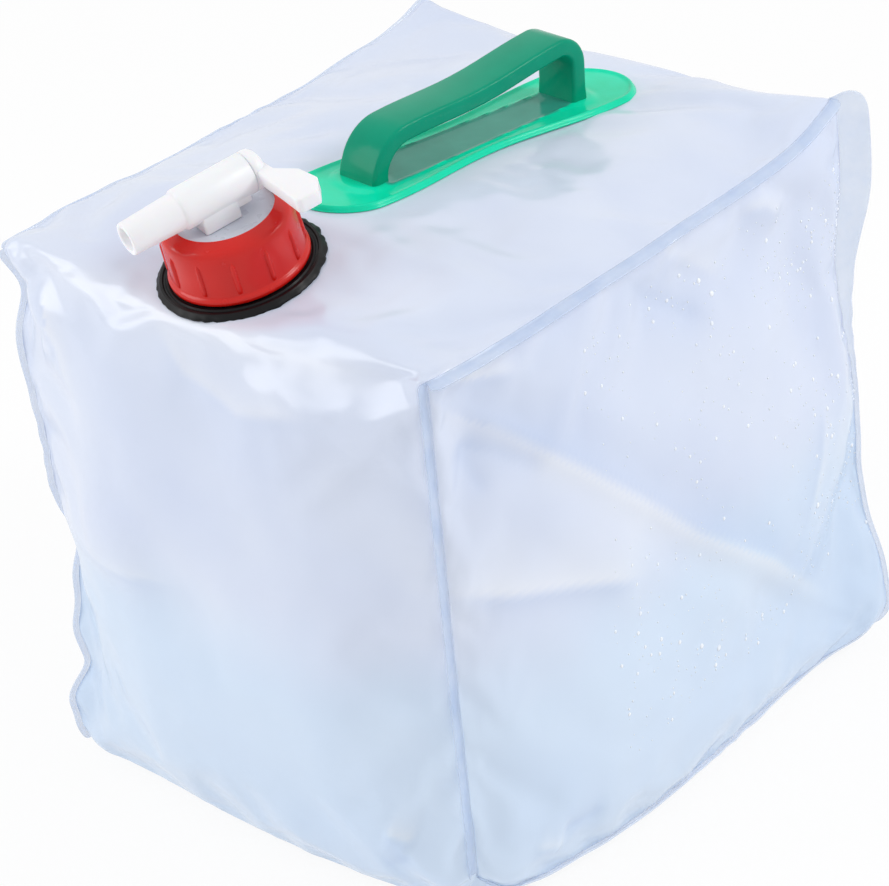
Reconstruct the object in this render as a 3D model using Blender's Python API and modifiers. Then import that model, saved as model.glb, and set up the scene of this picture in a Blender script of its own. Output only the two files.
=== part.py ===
# Collapsible 20 litre water carrier: a welded film bag, a neck with a screwed-on tap, and a handle.
# Metres, +Z up. The origin is on the ground under the bag's middle, and the tap is at the front, -Y.

import math

import bmesh
import bpy
from mathutils import Matrix, Vector

MM = 0.001

# Gaps, and the distance at which points are welded
FIT_GAP = 0.3 * MM
RUN_GAP = 0.7 * MM
CUT_OVERRUN = 1.0 * MM
MERGE_DISTANCE = 0.01 * MM

# Edges steeper than these are shaded sharp, or rounded
SHARP_ANGLE = math.radians(40)
ROUNDING_ANGLE = math.radians(50)

# Filled bag, corner to corner, and the film it is welded from
BAG_WIDTH = 245 * MM
BAG_DEPTH = 285 * MM
BAG_HEIGHT = 272 * MM
FILM_THICKNESS = 0.5 * MM
TOP_ROUND = 7 * MM
BOTTOM_ROUND = 24 * MM
SIDE_SWELL = 13 * MM
SIDE_FOOT_SHARE = 1.1
SIDE_HEAD_SHARE = 0.1
END_SWELL = 19 * MM
END_FOOT_SHARE = 0.5
END_HEAD_SHARE = 0.27
CORNER_PINCH = 2 * MM
BACK_CORNER_FLARE = 7 * MM
FLARE_SHARPNESS = 4
FRONT_CORNER_LIFT = 3 * MM
BACK_CORNER_LIFT = 9 * MM
LEFT_SAG = 5 * MM
LEFT_SAG_START_SHARE = 0.45
EAR_DROOP = 7 * MM
EAR_REACH = 4 * MM
EAR_SHARPNESS = 8
CORNER_SHARPNESS = 6

# Lower corners: one is lifted, two are pushed out, and a fold crosses the right panel to the last
FRONT_FOOT_LIFT = 15 * MM
FRONT_FOOT_PUSH = 7 * MM
BACK_FOOT_PUSH = 15 * MM
FOOT_SHARPNESS = 4
FOOT_HEIGHT_SHARE = 0.2
DIAGONAL_CREST = 5 * MM
DIAGONAL_SLOPE = 18 * MM

# The top is a low ridge behind the neck: it falls to the front fold, to the back and to both sides
RIDGE_GAP = 2.0 * MM
RIDGE_FALL = math.radians(3)
CREST_HALF_WIDTH = 46 * MM
NECK_RISE = 3.0 * MM
FOLD_MARGIN = 1.2 * MM
PANEL_CROWD_SHARE = 0.8
CELLS_ACROSS = 20
CELLS_UP = 12

# Welded edges of the two side panels
WELD_WIDTH = 4.6 * MM
WELD_THICKNESS = 1.0 * MM
WELD_END_TRIM = 3.0 * MM

# Neck that the cap screws onto, and how it leans forward with the film under it
NECK_X = -4 * MM
NECK_TILT = math.radians(11.5)
FLANGE_RADIUS = 36 * MM
FLANGE_THICKNESS = 2.2 * MM
FLANGE_OVERHANG = 5.5 * MM
FLANGE_RIM = 1.0 * MM
GROOVE_DEPTH = 0.6 * MM
GROOVE_WIDTH = 1.6 * MM
GROOVE_COUNT = 2
NECK_BORE_RADIUS = 21.5 * MM
NECK_WALL = 2.7 * MM
NECK_HEIGHT = 22.2 * MM
NECK_CHAMFER = 0.6 * MM
FILM_HOLE_MARGIN = 1.0 * MM
THREAD_PITCH = 6 * MM
THREAD_DEPTH = 1.3 * MM
THREAD_ROOT = 2.2 * MM
THREAD_CREST = 1.2 * MM
THREAD_EMBED = 0.4 * MM
NECK_THREAD_START = 5.5 * MM
NECK_THREAD_END = 4.0 * MM
TURN_STEPS = 48

# Sealing washer
WASHER_THICKNESS = 2.0 * MM
WASHER_MARGIN = 0.6 * MM

# Screw collar
COLLAR_WALL = 2.0 * MM
COLLAR_LIP_REACH = 4.9 * MM
COLLAR_LIP = 2.2 * MM
COLLAR_CHAMFER = 1.6 * MM
COLLAR_BEAD_REACH = 1.2 * MM
COLLAR_BEAD_HEIGHT = 2.6 * MM
COLLAR_FLOOR_GAP = 0.8 * MM
COLLAR_TAPER = 0.4 * MM
RIB_COUNT = 12
RIB_WIDTH = 1.8 * MM
RIB_REACH = 0.8 * MM
RIB_FOOT = 4.0 * MM
RIB_HEAD = 6.5 * MM

# Tap body
TAP_TURN = math.radians(-17)
DISC_THICKNESS = 2.4 * MM
BARREL_RADIUS = 9.5 * MM
BARREL_WALL = 2.5 * MM
BARREL_LIFT = 0.5 * MM
BARREL_FRONT = 18.5 * MM
BARREL_BACK = 14.5 * MM
BARREL_SHOULDER = 1.2 * MM
BARREL_FRONT_WALL = 4.0 * MM
SPOUT_LENGTH = 24.5 * MM
SPOUT_ROOT_RADIUS = 8.0 * MM
SPOUT_TIP_RADIUS = 7.2 * MM
SPOUT_BORE_RADIUS = 5.0 * MM
PEDESTAL_WIDTH = 12 * MM
PEDESTAL_FRONT = 12 * MM
PEDESTAL_BACK = 8 * MM
PEDESTAL_ROUND = 1.0 * MM
INLET_RADIUS = 4.0 * MM
BORE_STEPS = 24

# Tap plug with its lever
PLUG_WALL = 2.0 * MM
PLUG_BORE_BACK = 8.0 * MM
HEAD_LENGTH = 7.0 * MM
HEAD_ROUND = 1.5 * MM
LEVER_LENGTH = 40 * MM
LEVER_THICKNESS = 6.5 * MM
LEVER_TIP_WIDTH = 19 * MM
LEVER_SWEEP = 13 * MM
LEVER_SHOULDER = 20 * MM
LEVER_CORNER_LENGTH = 11 * MM
LEVER_CORNER_DEPTH = 5 * MM
LEVER_SWING_GAP = 1.5 * MM
LEVER_STEP = 0.7 * MM
LEVER_ROUND = 1.0 * MM

# Handle, which lies a little askew on the top
HANDLE_X = 2 * MM
HANDLE_TURN = math.radians(-6)
HANDLE_SETBACK = 8 * MM
PLATE_LENGTH = 190 * MM
PLATE_LOBE_WIDTH = 50 * MM
PLATE_WAIST_WIDTH = 38 * MM
PLATE_THICKNESS = 1.5 * MM
PLATE_END_ROUND = 22 * MM
PLATE_POINTS = 36
FOOT_INSET = 31 * MM
GRIP_AHEAD = 1.5 * MM
GRIP_WIDTH = 23 * MM
GRIP_THICKNESS = 8.0 * MM
GRIP_RISE = 30 * MM
GRIP_BEND = 20 * MM
GRIP_FOOT_SPREAD = 3.0 * MM
GRIP_FOOT_THICKNESS = 10 * MM
GRIP_EDGE_ROUND = 1.5 * MM
GRIP_BEND_STEPS = 8

# Places that follow from the sizes above
FRONT_FOLD_Y = -(BAG_DEPTH / 2 + END_SWELL * END_HEAD_SHARE)
FLANGE_REACH = FLANGE_RADIUS * math.cos(NECK_TILT)
NECK_Y = FRONT_FOLD_Y + TOP_ROUND - FLANGE_OVERHANG + FLANGE_REACH
NECK_Z = BAG_HEIGHT + NECK_RISE
RIDGE_Y = NECK_Y + FLANGE_REACH + RIDGE_GAP
NECK_ROOT_RADIUS = NECK_BORE_RADIUS + NECK_WALL
FLANGE_TOP = FIT_GAP + FLANGE_THICKNESS
NECK_TOP = FIT_GAP + NECK_HEIGHT
THREAD_RUN = NECK_HEIGHT - FLANGE_THICKNESS - NECK_THREAD_START - NECK_THREAD_END
NECK_THREAD_TURNS = THREAD_RUN / THREAD_PITCH
CAP_THREAD_TURNS = NECK_THREAD_TURNS - 1 / 2
WASHER_TOP = NECK_TOP + FIT_GAP + WASHER_THICKNESS
DISC_BOTTOM = WASHER_TOP + FIT_GAP
DISC_TOP = DISC_BOTTOM + DISC_THICKNESS
COLLAR_INNER_RADIUS = NECK_ROOT_RADIUS + THREAD_DEPTH + RUN_GAP
COLLAR_OUTER_RADIUS = COLLAR_INNER_RADIUS + COLLAR_WALL
COLLAR_BOTTOM = FLANGE_TOP + COLLAR_FLOOR_GAP
COLLAR_LIP_BOTTOM = DISC_TOP + FIT_GAP
COLLAR_TOP = COLLAR_LIP_BOTTOM + COLLAR_LIP
DISC_RADIUS = COLLAR_INNER_RADIUS - RUN_GAP
BARREL_AXIS = COLLAR_TOP + BARREL_LIFT + BARREL_RADIUS
BARREL_BORE_RADIUS = BARREL_RADIUS - BARREL_WALL
PLUG_RADIUS = BARREL_BORE_RADIUS - FIT_GAP
PLUG_BORE_RADIUS = PLUG_RADIUS - PLUG_WALL
PLUG_FRONT = BARREL_FRONT - BARREL_FRONT_WALL - FIT_GAP
HEAD_FRONT = BARREL_BACK + FIT_GAP
HEAD_BACK = HEAD_FRONT + HEAD_LENGTH
HANDLE_Y = NECK_Y + FLANGE_REACH + HANDLE_SETBACK + PLATE_LENGTH / 2
GRIP_BASE = FIT_GAP + PLATE_THICKNESS + FIT_GAP


def clear_scene():
    for item in list(bpy.data.objects):
        bpy.data.objects.remove(item, do_unlink=True)


def new_collection(name):
    collection = bpy.data.collections.new(name)
    bpy.context.scene.collection.children.link(collection)
    return collection


def new_material(name, colour, roughness):
    material = bpy.data.materials.new(name)
    material.use_nodes = True
    shader = material.node_tree.nodes["Principled BSDF"]
    shader.inputs["Base Color"].default_value = (*colour, 1)
    shader.inputs["Roughness"].default_value = roughness
    shader.inputs["Metallic"].default_value = 0
    return material


clear_scene()
PARTS = new_collection("collapsible_water_carrier")
CUTTERS = new_collection("cutters")
FILM = new_material("clear_pvc_film", (0.72, 0.79, 0.90), 0.28)
BLACK = new_material("black_polyethylene", (0.005, 0.005, 0.006), 0.25)
RED = new_material("red_polyethylene", (0.68, 0.035, 0.03), 0.3)
WHITE = new_material("white_polyethylene", (0.9, 0.9, 0.92), 0.35)
GREY = new_material("washer_rubber", (0.10, 0.10, 0.11), 0.7)
GREEN = new_material("green_pvc_grip", (0.02, 0.36, 0.24), 0.3)
MINT = new_material("mint_pvc_plate", (0.03, 0.78, 0.48), 0.25)


def new_axis(name, location, parent=None, rotation=(0, 0, 0)):
    """An empty that a group hangs on."""
    empty = bpy.data.objects.new(name, None)
    PARTS.objects.link(empty)
    empty.parent = parent
    empty.location = location
    empty.rotation_euler = rotation
    return empty


def new_part(name, mesh, material, parent):
    part = bpy.data.objects.new(name, mesh)
    PARTS.objects.link(part)
    part.parent = parent
    mesh.materials.append(material)
    return part


def new_cutter(name, mesh, parent):
    cutter = bpy.data.objects.new(name, mesh)
    CUTTERS.objects.link(cutter)
    cutter.parent = parent
    cutter.hide_render = True
    cutter.display_type = "WIRE"
    return cutter


def to_mesh(name, bm):
    """Ends a bmesh as a mesh that is shaded smooth but for its sharp edges."""
    mesh = bpy.data.meshes.new(name)
    bm.to_mesh(mesh)
    bm.free()
    mesh.shade_smooth()
    mesh.set_sharp_from_angle(angle=SHARP_ANGLE)
    return mesh


def combine(target, other, operation):
    """Adds a Boolean of the other object to the target."""
    boolean = target.modifiers.new(f"{operation.lower()}_{other.name}", "BOOLEAN")
    boolean.object = other
    boolean.operation = operation
    boolean.solver = "EXACT"


def thicken(part, thickness, offset):
    solidify = part.modifiers.new("thickness", "SOLIDIFY")
    solidify.thickness = thickness
    solidify.offset = offset
    solidify.use_even_offset = True


def round_edges(part, width, segments):
    bevel = part.modifiers.new("rounding", "BEVEL")
    bevel.width = width
    bevel.segments = segments
    bevel.limit_method = "ANGLE"
    bevel.angle_limit = ROUNDING_ANGLE


def profile_mesh(name, points, closed):
    """Points of (radius, height), listed down the outer side, as an edge chain in the XZ plane."""
    bm = bmesh.new()
    verts = [bm.verts.new((radius, 0, height)) for radius, height in points]
    for first, second in zip(verts, verts[1:]):
        bm.edges.new((first, second))
    if closed:
        bm.edges.new((verts[-1], verts[0]))
    return to_mesh(name, bm)


def turn(part):
    screw = part.modifiers.new("turning", "SCREW")
    screw.axis = "Z"
    screw.angle = math.tau
    screw.steps = TURN_STEPS
    screw.render_steps = TURN_STEPS
    screw.use_merge_vertices = True
    screw.merge_threshold = MERGE_DISTANCE
    screw.use_smooth_shade = True


def cylinder_mesh(name, radius, depth, steps):
    bm = bmesh.new()
    bmesh.ops.create_cone(
        bm, cap_ends=True, segments=steps, radius1=radius, radius2=radius, depth=depth
    )
    return to_mesh(name, bm)


def block_mesh(name, size):
    bm = bmesh.new()
    bmesh.ops.create_cube(bm, size=1)
    bmesh.ops.scale(bm, vec=size, verts=bm.verts)
    return to_mesh(name, bm)


def outline_mesh(name, points, thickness):
    """A flat outline as a filled 2D curve, extruded both ways and turned into a welded mesh."""
    curve = bpy.data.curves.new(f"{name}_outline", "CURVE")
    curve.dimensions = "2D"
    curve.fill_mode = "BOTH"
    curve.extrude = thickness / 2
    spline = curve.splines.new("POLY")
    spline.points.add(len(points) - 1)
    for target, (x, y) in zip(spline.points, points):
        target.co = (x, y, 0, 1)
    spline.use_cyclic_u = True
    guide = bpy.data.objects.new(f"{name}_guide", curve)
    CUTTERS.objects.link(guide)
    bpy.context.view_layer.update()
    evaluated = guide.evaluated_get(bpy.context.evaluated_depsgraph_get())
    bm = bmesh.new()
    bm.from_mesh(bpy.data.meshes.new_from_object(evaluated))
    bmesh.ops.remove_doubles(bm, verts=bm.verts, dist=MERGE_DISTANCE)
    bmesh.ops.recalc_face_normals(bm, faces=bm.faces)
    bpy.data.objects.remove(guide, do_unlink=True)
    return to_mesh(name, bm)


# The filled bag's form


def swell_share(w, foot_share, head_share):
    """How far a wall swells at height w, from -1 to 1: all of it half way up, less at both ends."""
    straight = foot_share + (head_share - foot_share) * (1 + w) / 2
    return straight + (1 - (foot_share + head_share) / 2) * (1 - w * w)


def top_height(y):
    """Height of the top's middle above the bag's own height: a slope under the neck, then a ridge."""
    under_neck = NECK_RISE + (y - NECK_Y) * math.tan(NECK_TILT)
    ridge = NECK_RISE + (RIDGE_Y - NECK_Y) * math.tan(NECK_TILT)
    return min(under_neck, ridge - (y - RIDGE_Y) * math.tan(RIDGE_FALL))


def crest_share(x):
    """How much of the middle's height the top has at x: all of it as far as the crest is wide."""
    past = min(1, max(0, abs(x) - CREST_HALF_WIDTH) / (BAG_WIDTH / 2 - CREST_HALF_WIDTH))
    return 1 - past * past * (3 - 2 * past)


def film_point(u, v, w):
    """Carries a point of the cube from -1 to 1 onto the outer face of the filled bag.

    The cube's edges are rounded first, the walls swell out, and the back right corner flares. The
    top then takes its ridge, its corners are lifted, its left edge sags, and its front left corner
    droops. Last come the lower corners and the right panel's fold.
    """
    half = Vector((BAG_WIDTH, BAG_DEPTH, BAG_HEIGHT)) / 2
    high = (1 + w) / 2
    radius = BOTTOM_ROUND + (TOP_ROUND - BOTTOM_ROUND) * high
    skin = Vector((u * half.x, v * half.y, w * half.z))
    core = Vector([max(radius - h, min(h - radius, c)) for c, h in zip(skin, half)])
    point = core + (skin - core).normalized() * radius
    point.x += u * (1 - v * v) * SIDE_SWELL * swell_share(w, SIDE_FOOT_SHARE, SIDE_HEAD_SHARE)
    point.y += v * (1 - u * u) * END_SWELL * swell_share(w, END_FOOT_SHARE, END_HEAD_SHARE)
    pinch = (u * v) ** 2 * (1 - w * w) * CORNER_PINCH
    flare = (max(0, u) * max(0, v)) ** FLARE_SHARPNESS * (1 - w**4) * BACK_CORNER_FLARE
    point.x += flare - u * pinch
    point.y += flare - v * pinch
    left = max(0, (-u - LEFT_SAG_START_SHARE) / (1 - LEFT_SAG_START_SHARE))
    sag = left * left * (3 - 2 * left) * (1 - v * v) * LEFT_SAG
    corner_lift = FRONT_CORNER_LIFT + (BACK_CORNER_LIFT - FRONT_CORNER_LIFT) * (1 + v) / 2
    lift = (u * v) ** CORNER_SHARPNESS * corner_lift
    rise = top_height(point.y) * crest_share(point.x)
    point.z += half.z + high**3 * (lift - sag + rise)
    ear = (max(0, -u) * max(0, -v)) ** EAR_SHARPNESS * high**4
    point.z -= ear * EAR_DROOP
    point.x -= ear * EAR_REACH
    low = math.exp(-((high / FOOT_HEIGHT_SHARE) ** 2))
    right, front, back = max(0, u), max(0, -v), max(0, v)
    point.z += (right * front) ** FOOT_SHARPNESS * low * FRONT_FOOT_LIFT
    push = (max(0, -u) * front) ** FOOT_SHARPNESS * low * FRONT_FOOT_PUSH
    point.x -= push
    point.y -= push
    point.x += (right * back) ** FOOT_SHARPNESS * low * BACK_FOOT_PUSH
    off_diagonal = abs(v + w) * half.y * half.z / math.hypot(half.y, half.z)
    crest = math.exp(-off_diagonal / DIAGONAL_SLOPE) * (1 - (v * w) ** 2)
    point.x += right**FOOT_SHARPNESS * crest * DIAGONAL_CREST
    return point


def crowd(t):
    """Spreads even steps from -1 to 1 so that they crowd towards the ends, where the film bends."""
    reach = PANEL_CROWD_SHARE * math.pi / 2
    return math.sin(t * reach) / math.sin(reach)


# Each face of the cube: its size across and up, its cells up and the cube point of (a, b)
FACES = {
    "bottom_panel": (BAG_WIDTH, BAG_DEPTH, CELLS_ACROSS, lambda a, b: (-a, b, -1)),
    "front_panel": (BAG_WIDTH, BAG_HEIGHT, CELLS_UP, lambda a, b: (a, -1, b)),
    "back_panel": (BAG_WIDTH, BAG_HEIGHT, CELLS_UP, lambda a, b: (-a, 1, b)),
    "right_gusset": (BAG_DEPTH, BAG_HEIGHT, CELLS_UP, lambda a, b: (1, a, b)),
    "left_gusset": (BAG_DEPTH, BAG_HEIGHT, CELLS_UP, lambda a, b: (-1, -a, b)),
    "top_panel": (BAG_WIDTH, BAG_DEPTH, CELLS_ACROSS, lambda a, b: (a, b, 1)),
}


def film_panel(name, parent):
    """One face of the bag: an even grid laid over the filled form and given the film's thickness."""
    across, up, cells_up, cube_point = FACES[name]
    bm = bmesh.new()
    bmesh.ops.create_grid(bm, x_segments=CELLS_ACROSS, y_segments=cells_up, size=1)
    for vert in bm.verts:
        a = crowd(vert.co.x) * (1 - 2 * FOLD_MARGIN / across)
        b = crowd(vert.co.y) * (1 - 2 * FOLD_MARGIN / up)
        vert.co = film_point(*cube_point(a, b))
    part = new_part(name, to_mesh(name, bm), FILM, parent)
    thicken(part, FILM_THICKNESS, -1)
    return part


def weld_fin(name, edge_point, outward, length, cells, parent):
    """The two welded film edges that stand off the bag along one edge of a side panel.

    Its cells match the panels' own, so that its inner edge runs along theirs.
    """
    direction = Vector(outward).normalized()
    reach = 1 - 2 * WELD_END_TRIM / length
    bm = bmesh.new()
    bmesh.ops.create_grid(bm, x_segments=cells, y_segments=1, size=1)
    for vert in bm.verts:
        t = max(-reach, min(reach, crowd(vert.co.x) * (1 - 2 * FOLD_MARGIN / length)))
        stand_off = FIT_GAP + WELD_WIDTH * (1 + vert.co.y) / 2
        vert.co = film_point(*edge_point(t)) + direction * stand_off
    thicken(new_part(name, to_mesh(name, bm), FILM, parent), WELD_THICKNESS, 0)


# Bag


def build_bag(bag, top, neck_axis):
    for name in ("bottom_panel", "front_panel", "back_panel", "left_gusset", "right_gusset"):
        film_panel(name, bag)
    top_panel = film_panel("top_panel", top)
    hole_radius = NECK_BORE_RADIUS + FILM_HOLE_MARGIN
    hole_depth = 2 * (FILM_THICKNESS + CUT_OVERRUN)
    hole_mesh = cylinder_mesh("neck_hole", hole_radius, hole_depth, TURN_STEPS)
    combine(top_panel, new_cutter("neck_hole", hole_mesh, neck_axis), "DIFFERENCE")
    for side, u in (("left", -1), ("right", 1)):
        weld_fin(
            f"{side}_top_weld",
            lambda t, u=u: (u, t, 1),
            (u, 0, 1),
            BAG_DEPTH,
            CELLS_ACROSS,
            top,
        )
        weld_fin(
            f"{side}_bottom_weld",
            lambda t, u=u: (u, t, -1),
            (u, 0, -1),
            BAG_DEPTH,
            CELLS_ACROSS,
            bag,
        )
        for end, v in (("front", -1), ("back", 1)):
            weld_fin(
                f"{side}_{end}_weld",
                lambda t, u=u, v=v: (u, v, t),
                (u, v, 0),
                BAG_HEIGHT,
                CELLS_UP,
                bag,
            )


# Neck, washer and collar


def thread_mesh(name, root_radius, depth, start, turns):
    """A helical ridge, right handed, that rises from the start height. A negative depth points inward."""
    embed = math.copysign(THREAD_EMBED, depth)
    section = (
        (root_radius - embed, -THREAD_ROOT / 2),
        (root_radius + depth, -THREAD_CREST / 2),
        (root_radius + depth, THREAD_CREST / 2),
        (root_radius - embed, THREAD_ROOT / 2),
    )
    bm = bmesh.new()
    bm.faces.new([bm.verts.new((radius, 0, start + height)) for radius, height in section])
    steps = round(TURN_STEPS * turns)
    bmesh.ops.spin(
        bm,
        geom=bm.verts[:] + bm.edges[:] + bm.faces[:],
        cent=(0, 0, 0),
        axis=(0, 0, 1),
        dvec=(0, 0, THREAD_PITCH * turns / steps),
        angle=math.tau * turns,
        steps=steps,
    )
    bmesh.ops.recalc_face_normals(bm, faces=bm.faces)
    return to_mesh(name, bm)


def neck_profile():
    points = [
        (NECK_BORE_RADIUS, NECK_TOP),
        (NECK_ROOT_RADIUS - NECK_CHAMFER, NECK_TOP),
        (NECK_ROOT_RADIUS, NECK_TOP - NECK_CHAMFER),
        (NECK_ROOT_RADIUS, FLANGE_TOP),
    ]
    first_groove = FLANGE_RADIUS - FLANGE_RIM - GROOVE_COUNT * GROOVE_WIDTH
    for index in range(GROOVE_COUNT):
        inner = first_groove + index * GROOVE_WIDTH
        points.append((inner, FLANGE_TOP))
        points.append((inner + GROOVE_WIDTH / 2, FLANGE_TOP - GROOVE_DEPTH))
    points.append((FLANGE_RADIUS - FLANGE_RIM, FLANGE_TOP))
    points.append((FLANGE_RADIUS, FLANGE_TOP - GROOVE_DEPTH))
    points.append((FLANGE_RADIUS, FIT_GAP))
    points.append((NECK_BORE_RADIUS, FIT_GAP))
    return points


def build_neck(neck_axis):
    ring = profile_mesh("neck_fitment", neck_profile(), True)
    neck = new_part("neck_fitment", ring, BLACK, neck_axis)
    turn(neck)
    ridge = thread_mesh(
        "neck_thread",
        NECK_ROOT_RADIUS,
        THREAD_DEPTH,
        FLANGE_TOP + NECK_THREAD_START,
        NECK_THREAD_TURNS,
    )
    combine(neck, new_cutter("neck_thread", ridge, neck_axis), "UNION")


def build_washer(spigot_axis):
    outer = DISC_RADIUS - WASHER_MARGIN
    points = [
        (NECK_BORE_RADIUS, WASHER_TOP),
        (outer, WASHER_TOP),
        (outer, WASHER_TOP - WASHER_THICKNESS),
        (NECK_BORE_RADIUS, WASHER_TOP - WASHER_THICKNESS),
    ]
    ring = profile_mesh("seal_washer", points, True)
    turn(new_part("seal_washer", ring, GREY, spigot_axis))


def collar_profile():
    lip_radius = COLLAR_INNER_RADIUS - COLLAR_LIP_REACH
    foot_radius = COLLAR_OUTER_RADIUS + COLLAR_TAPER
    bead_radius = foot_radius + COLLAR_BEAD_REACH
    bead_top = COLLAR_BOTTOM + COLLAR_BEAD_HEIGHT
    return [
        (lip_radius, COLLAR_TOP),
        (COLLAR_OUTER_RADIUS - COLLAR_CHAMFER, COLLAR_TOP - COLLAR_CHAMFER / 2),
        (COLLAR_OUTER_RADIUS, COLLAR_TOP - COLLAR_CHAMFER * 2),
        (foot_radius, bead_top),
        (bead_radius, bead_top - COLLAR_BEAD_REACH),
        (bead_radius, COLLAR_BOTTOM),
        (COLLAR_INNER_RADIUS, COLLAR_BOTTOM),
        (COLLAR_INNER_RADIUS, COLLAR_LIP_BOTTOM),
        (lip_radius, COLLAR_LIP_BOTTOM),
    ]


def rib_mesh():
    """All the grip ribs as separate blocks round the collar, sunk half way into its wall."""
    low = COLLAR_BOTTOM + RIB_FOOT
    high = COLLAR_TOP - RIB_HEAD
    inner = COLLAR_OUTER_RADIUS - COLLAR_WALL / 2
    outer = COLLAR_OUTER_RADIUS + COLLAR_TAPER + RIB_REACH
    bm = bmesh.new()
    for index in range(RIB_COUNT):
        block = bmesh.ops.create_cube(bm, size=1)["verts"]
        bmesh.ops.scale(bm, vec=(outer - inner, RIB_WIDTH, high - low), verts=block)
        bmesh.ops.translate(bm, vec=((inner + outer) / 2, 0, (low + high) / 2), verts=block)
        turned = Matrix.Rotation((index + 0.5) * math.tau / RIB_COUNT, 4, "Z")
        bmesh.ops.rotate(bm, cent=(0, 0, 0), matrix=turned, verts=block)
    return to_mesh("collar_ribs", bm)


def build_collar(spigot_axis):
    ring = profile_mesh("screw_collar", collar_profile(), True)
    collar = new_part("screw_collar", ring, RED, spigot_axis)
    turn(collar)
    ridge = thread_mesh(
        "collar_thread",
        COLLAR_INNER_RADIUS,
        -THREAD_DEPTH,
        FLANGE_TOP + NECK_THREAD_START + THREAD_PITCH / 2,
        CAP_THREAD_TURNS,
    )
    combine(collar, new_cutter("collar_thread", ridge, spigot_axis), "UNION")
    combine(collar, new_cutter("collar_ribs", rib_mesh(), spigot_axis), "UNION")


# Tap


def lay_forward(item):
    """Turns a piece that was made along +Z so that it lies along -Y, towards the front."""
    item.rotation_euler = (math.pi / 2, 0, 0)
    item.location = (0, 0, BARREL_AXIS)


def barrel_profile():
    tip = BARREL_FRONT + SPOUT_LENGTH
    return [
        (0, tip),
        (SPOUT_TIP_RADIUS, tip),
        (SPOUT_ROOT_RADIUS, BARREL_FRONT + BARREL_SHOULDER),
        (BARREL_RADIUS, BARREL_FRONT),
        (BARREL_RADIUS, -BARREL_BACK),
        (0, -BARREL_BACK),
    ]


def build_tap_body(tap_axis):
    barrel = profile_mesh("tap_body", barrel_profile(), False)
    body = new_part("tap_body", barrel, WHITE, tap_axis)
    turn(body)
    lay_forward(body)

    disc_middle = (DISC_BOTTOM + DISC_TOP) / 2
    disc_mesh = cylinder_mesh("tap_disc", DISC_RADIUS, DISC_THICKNESS, TURN_STEPS)
    disc = new_cutter("tap_disc", disc_mesh, tap_axis)
    disc.location = (0, 0, disc_middle)
    combine(body, disc, "UNION")

    pedestal_size = (PEDESTAL_WIDTH, PEDESTAL_FRONT + PEDESTAL_BACK, BARREL_AXIS - disc_middle)
    pedestal = new_cutter("tap_pedestal", block_mesh("tap_pedestal", pedestal_size), tap_axis)
    pedestal.location = (0, (PEDESTAL_BACK - PEDESTAL_FRONT) / 2, (BARREL_AXIS + disc_middle) / 2)
    round_edges(pedestal, PEDESTAL_ROUND, 1)
    combine(body, pedestal, "UNION")

    plug_bore_length = BARREL_BACK + CUT_OVERRUN + BARREL_FRONT - BARREL_FRONT_WALL
    plug_bore_mesh = cylinder_mesh("plug_bore", BARREL_BORE_RADIUS, plug_bore_length, TURN_STEPS)
    plug_bore = new_cutter("plug_bore", plug_bore_mesh, tap_axis)
    lay_forward(plug_bore)
    plug_bore.location.y = BARREL_BACK + CUT_OVERRUN - plug_bore_length / 2
    combine(body, plug_bore, "DIFFERENCE")

    spout_bore_length = BARREL_FRONT_WALL + SPOUT_LENGTH + 2 * CUT_OVERRUN
    spout_bore_mesh = cylinder_mesh("spout_bore", SPOUT_BORE_RADIUS, spout_bore_length, BORE_STEPS)
    spout_bore = new_cutter("spout_bore", spout_bore_mesh, tap_axis)
    lay_forward(spout_bore)
    spout_bore.location.y = -(BARREL_FRONT + SPOUT_LENGTH + CUT_OVERRUN - spout_bore_length / 2)
    combine(body, spout_bore, "DIFFERENCE")

    inlet_length = BARREL_AXIS - DISC_BOTTOM + CUT_OVERRUN
    inlet_mesh = cylinder_mesh("tap_inlet", INLET_RADIUS, inlet_length, BORE_STEPS)
    inlet = new_cutter("tap_inlet", inlet_mesh, tap_axis)
    inlet.location = (0, 0, DISC_BOTTOM - CUT_OVERRUN + inlet_length / 2)
    combine(body, inlet, "DIFFERENCE")


def plug_profile():
    bore_back = -PLUG_BORE_BACK
    return [
        (0, bore_back),
        (PLUG_BORE_RADIUS, bore_back),
        (PLUG_BORE_RADIUS, PLUG_FRONT),
        (PLUG_RADIUS, PLUG_FRONT),
        (PLUG_RADIUS, -HEAD_FRONT),
        (BARREL_RADIUS, -HEAD_FRONT),
        (BARREL_RADIUS, HEAD_ROUND - HEAD_BACK),
        (BARREL_RADIUS - HEAD_ROUND, -HEAD_BACK),
        (0, -HEAD_BACK),
    ]


def lever_outline():
    """The paddle seen from above: swept back and widening, with the outer back corner cut off."""
    back = HEAD_BACK - LEVER_STEP
    front = HEAD_FRONT + LEVER_STEP
    tip_back = back + LEVER_SWEEP
    return [
        (0, front),
        (BARREL_RADIUS + LEVER_SWING_GAP, front),
        (LEVER_LENGTH, tip_back - LEVER_TIP_WIDTH),
        (LEVER_LENGTH, tip_back - LEVER_CORNER_DEPTH),
        (LEVER_LENGTH - LEVER_CORNER_LENGTH, tip_back),
        (LEVER_SHOULDER, tip_back - LEVER_CORNER_DEPTH / 2),
        (BARREL_RADIUS + LEVER_SWING_GAP, back + LEVER_STEP),
        (0, back),
    ]


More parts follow.
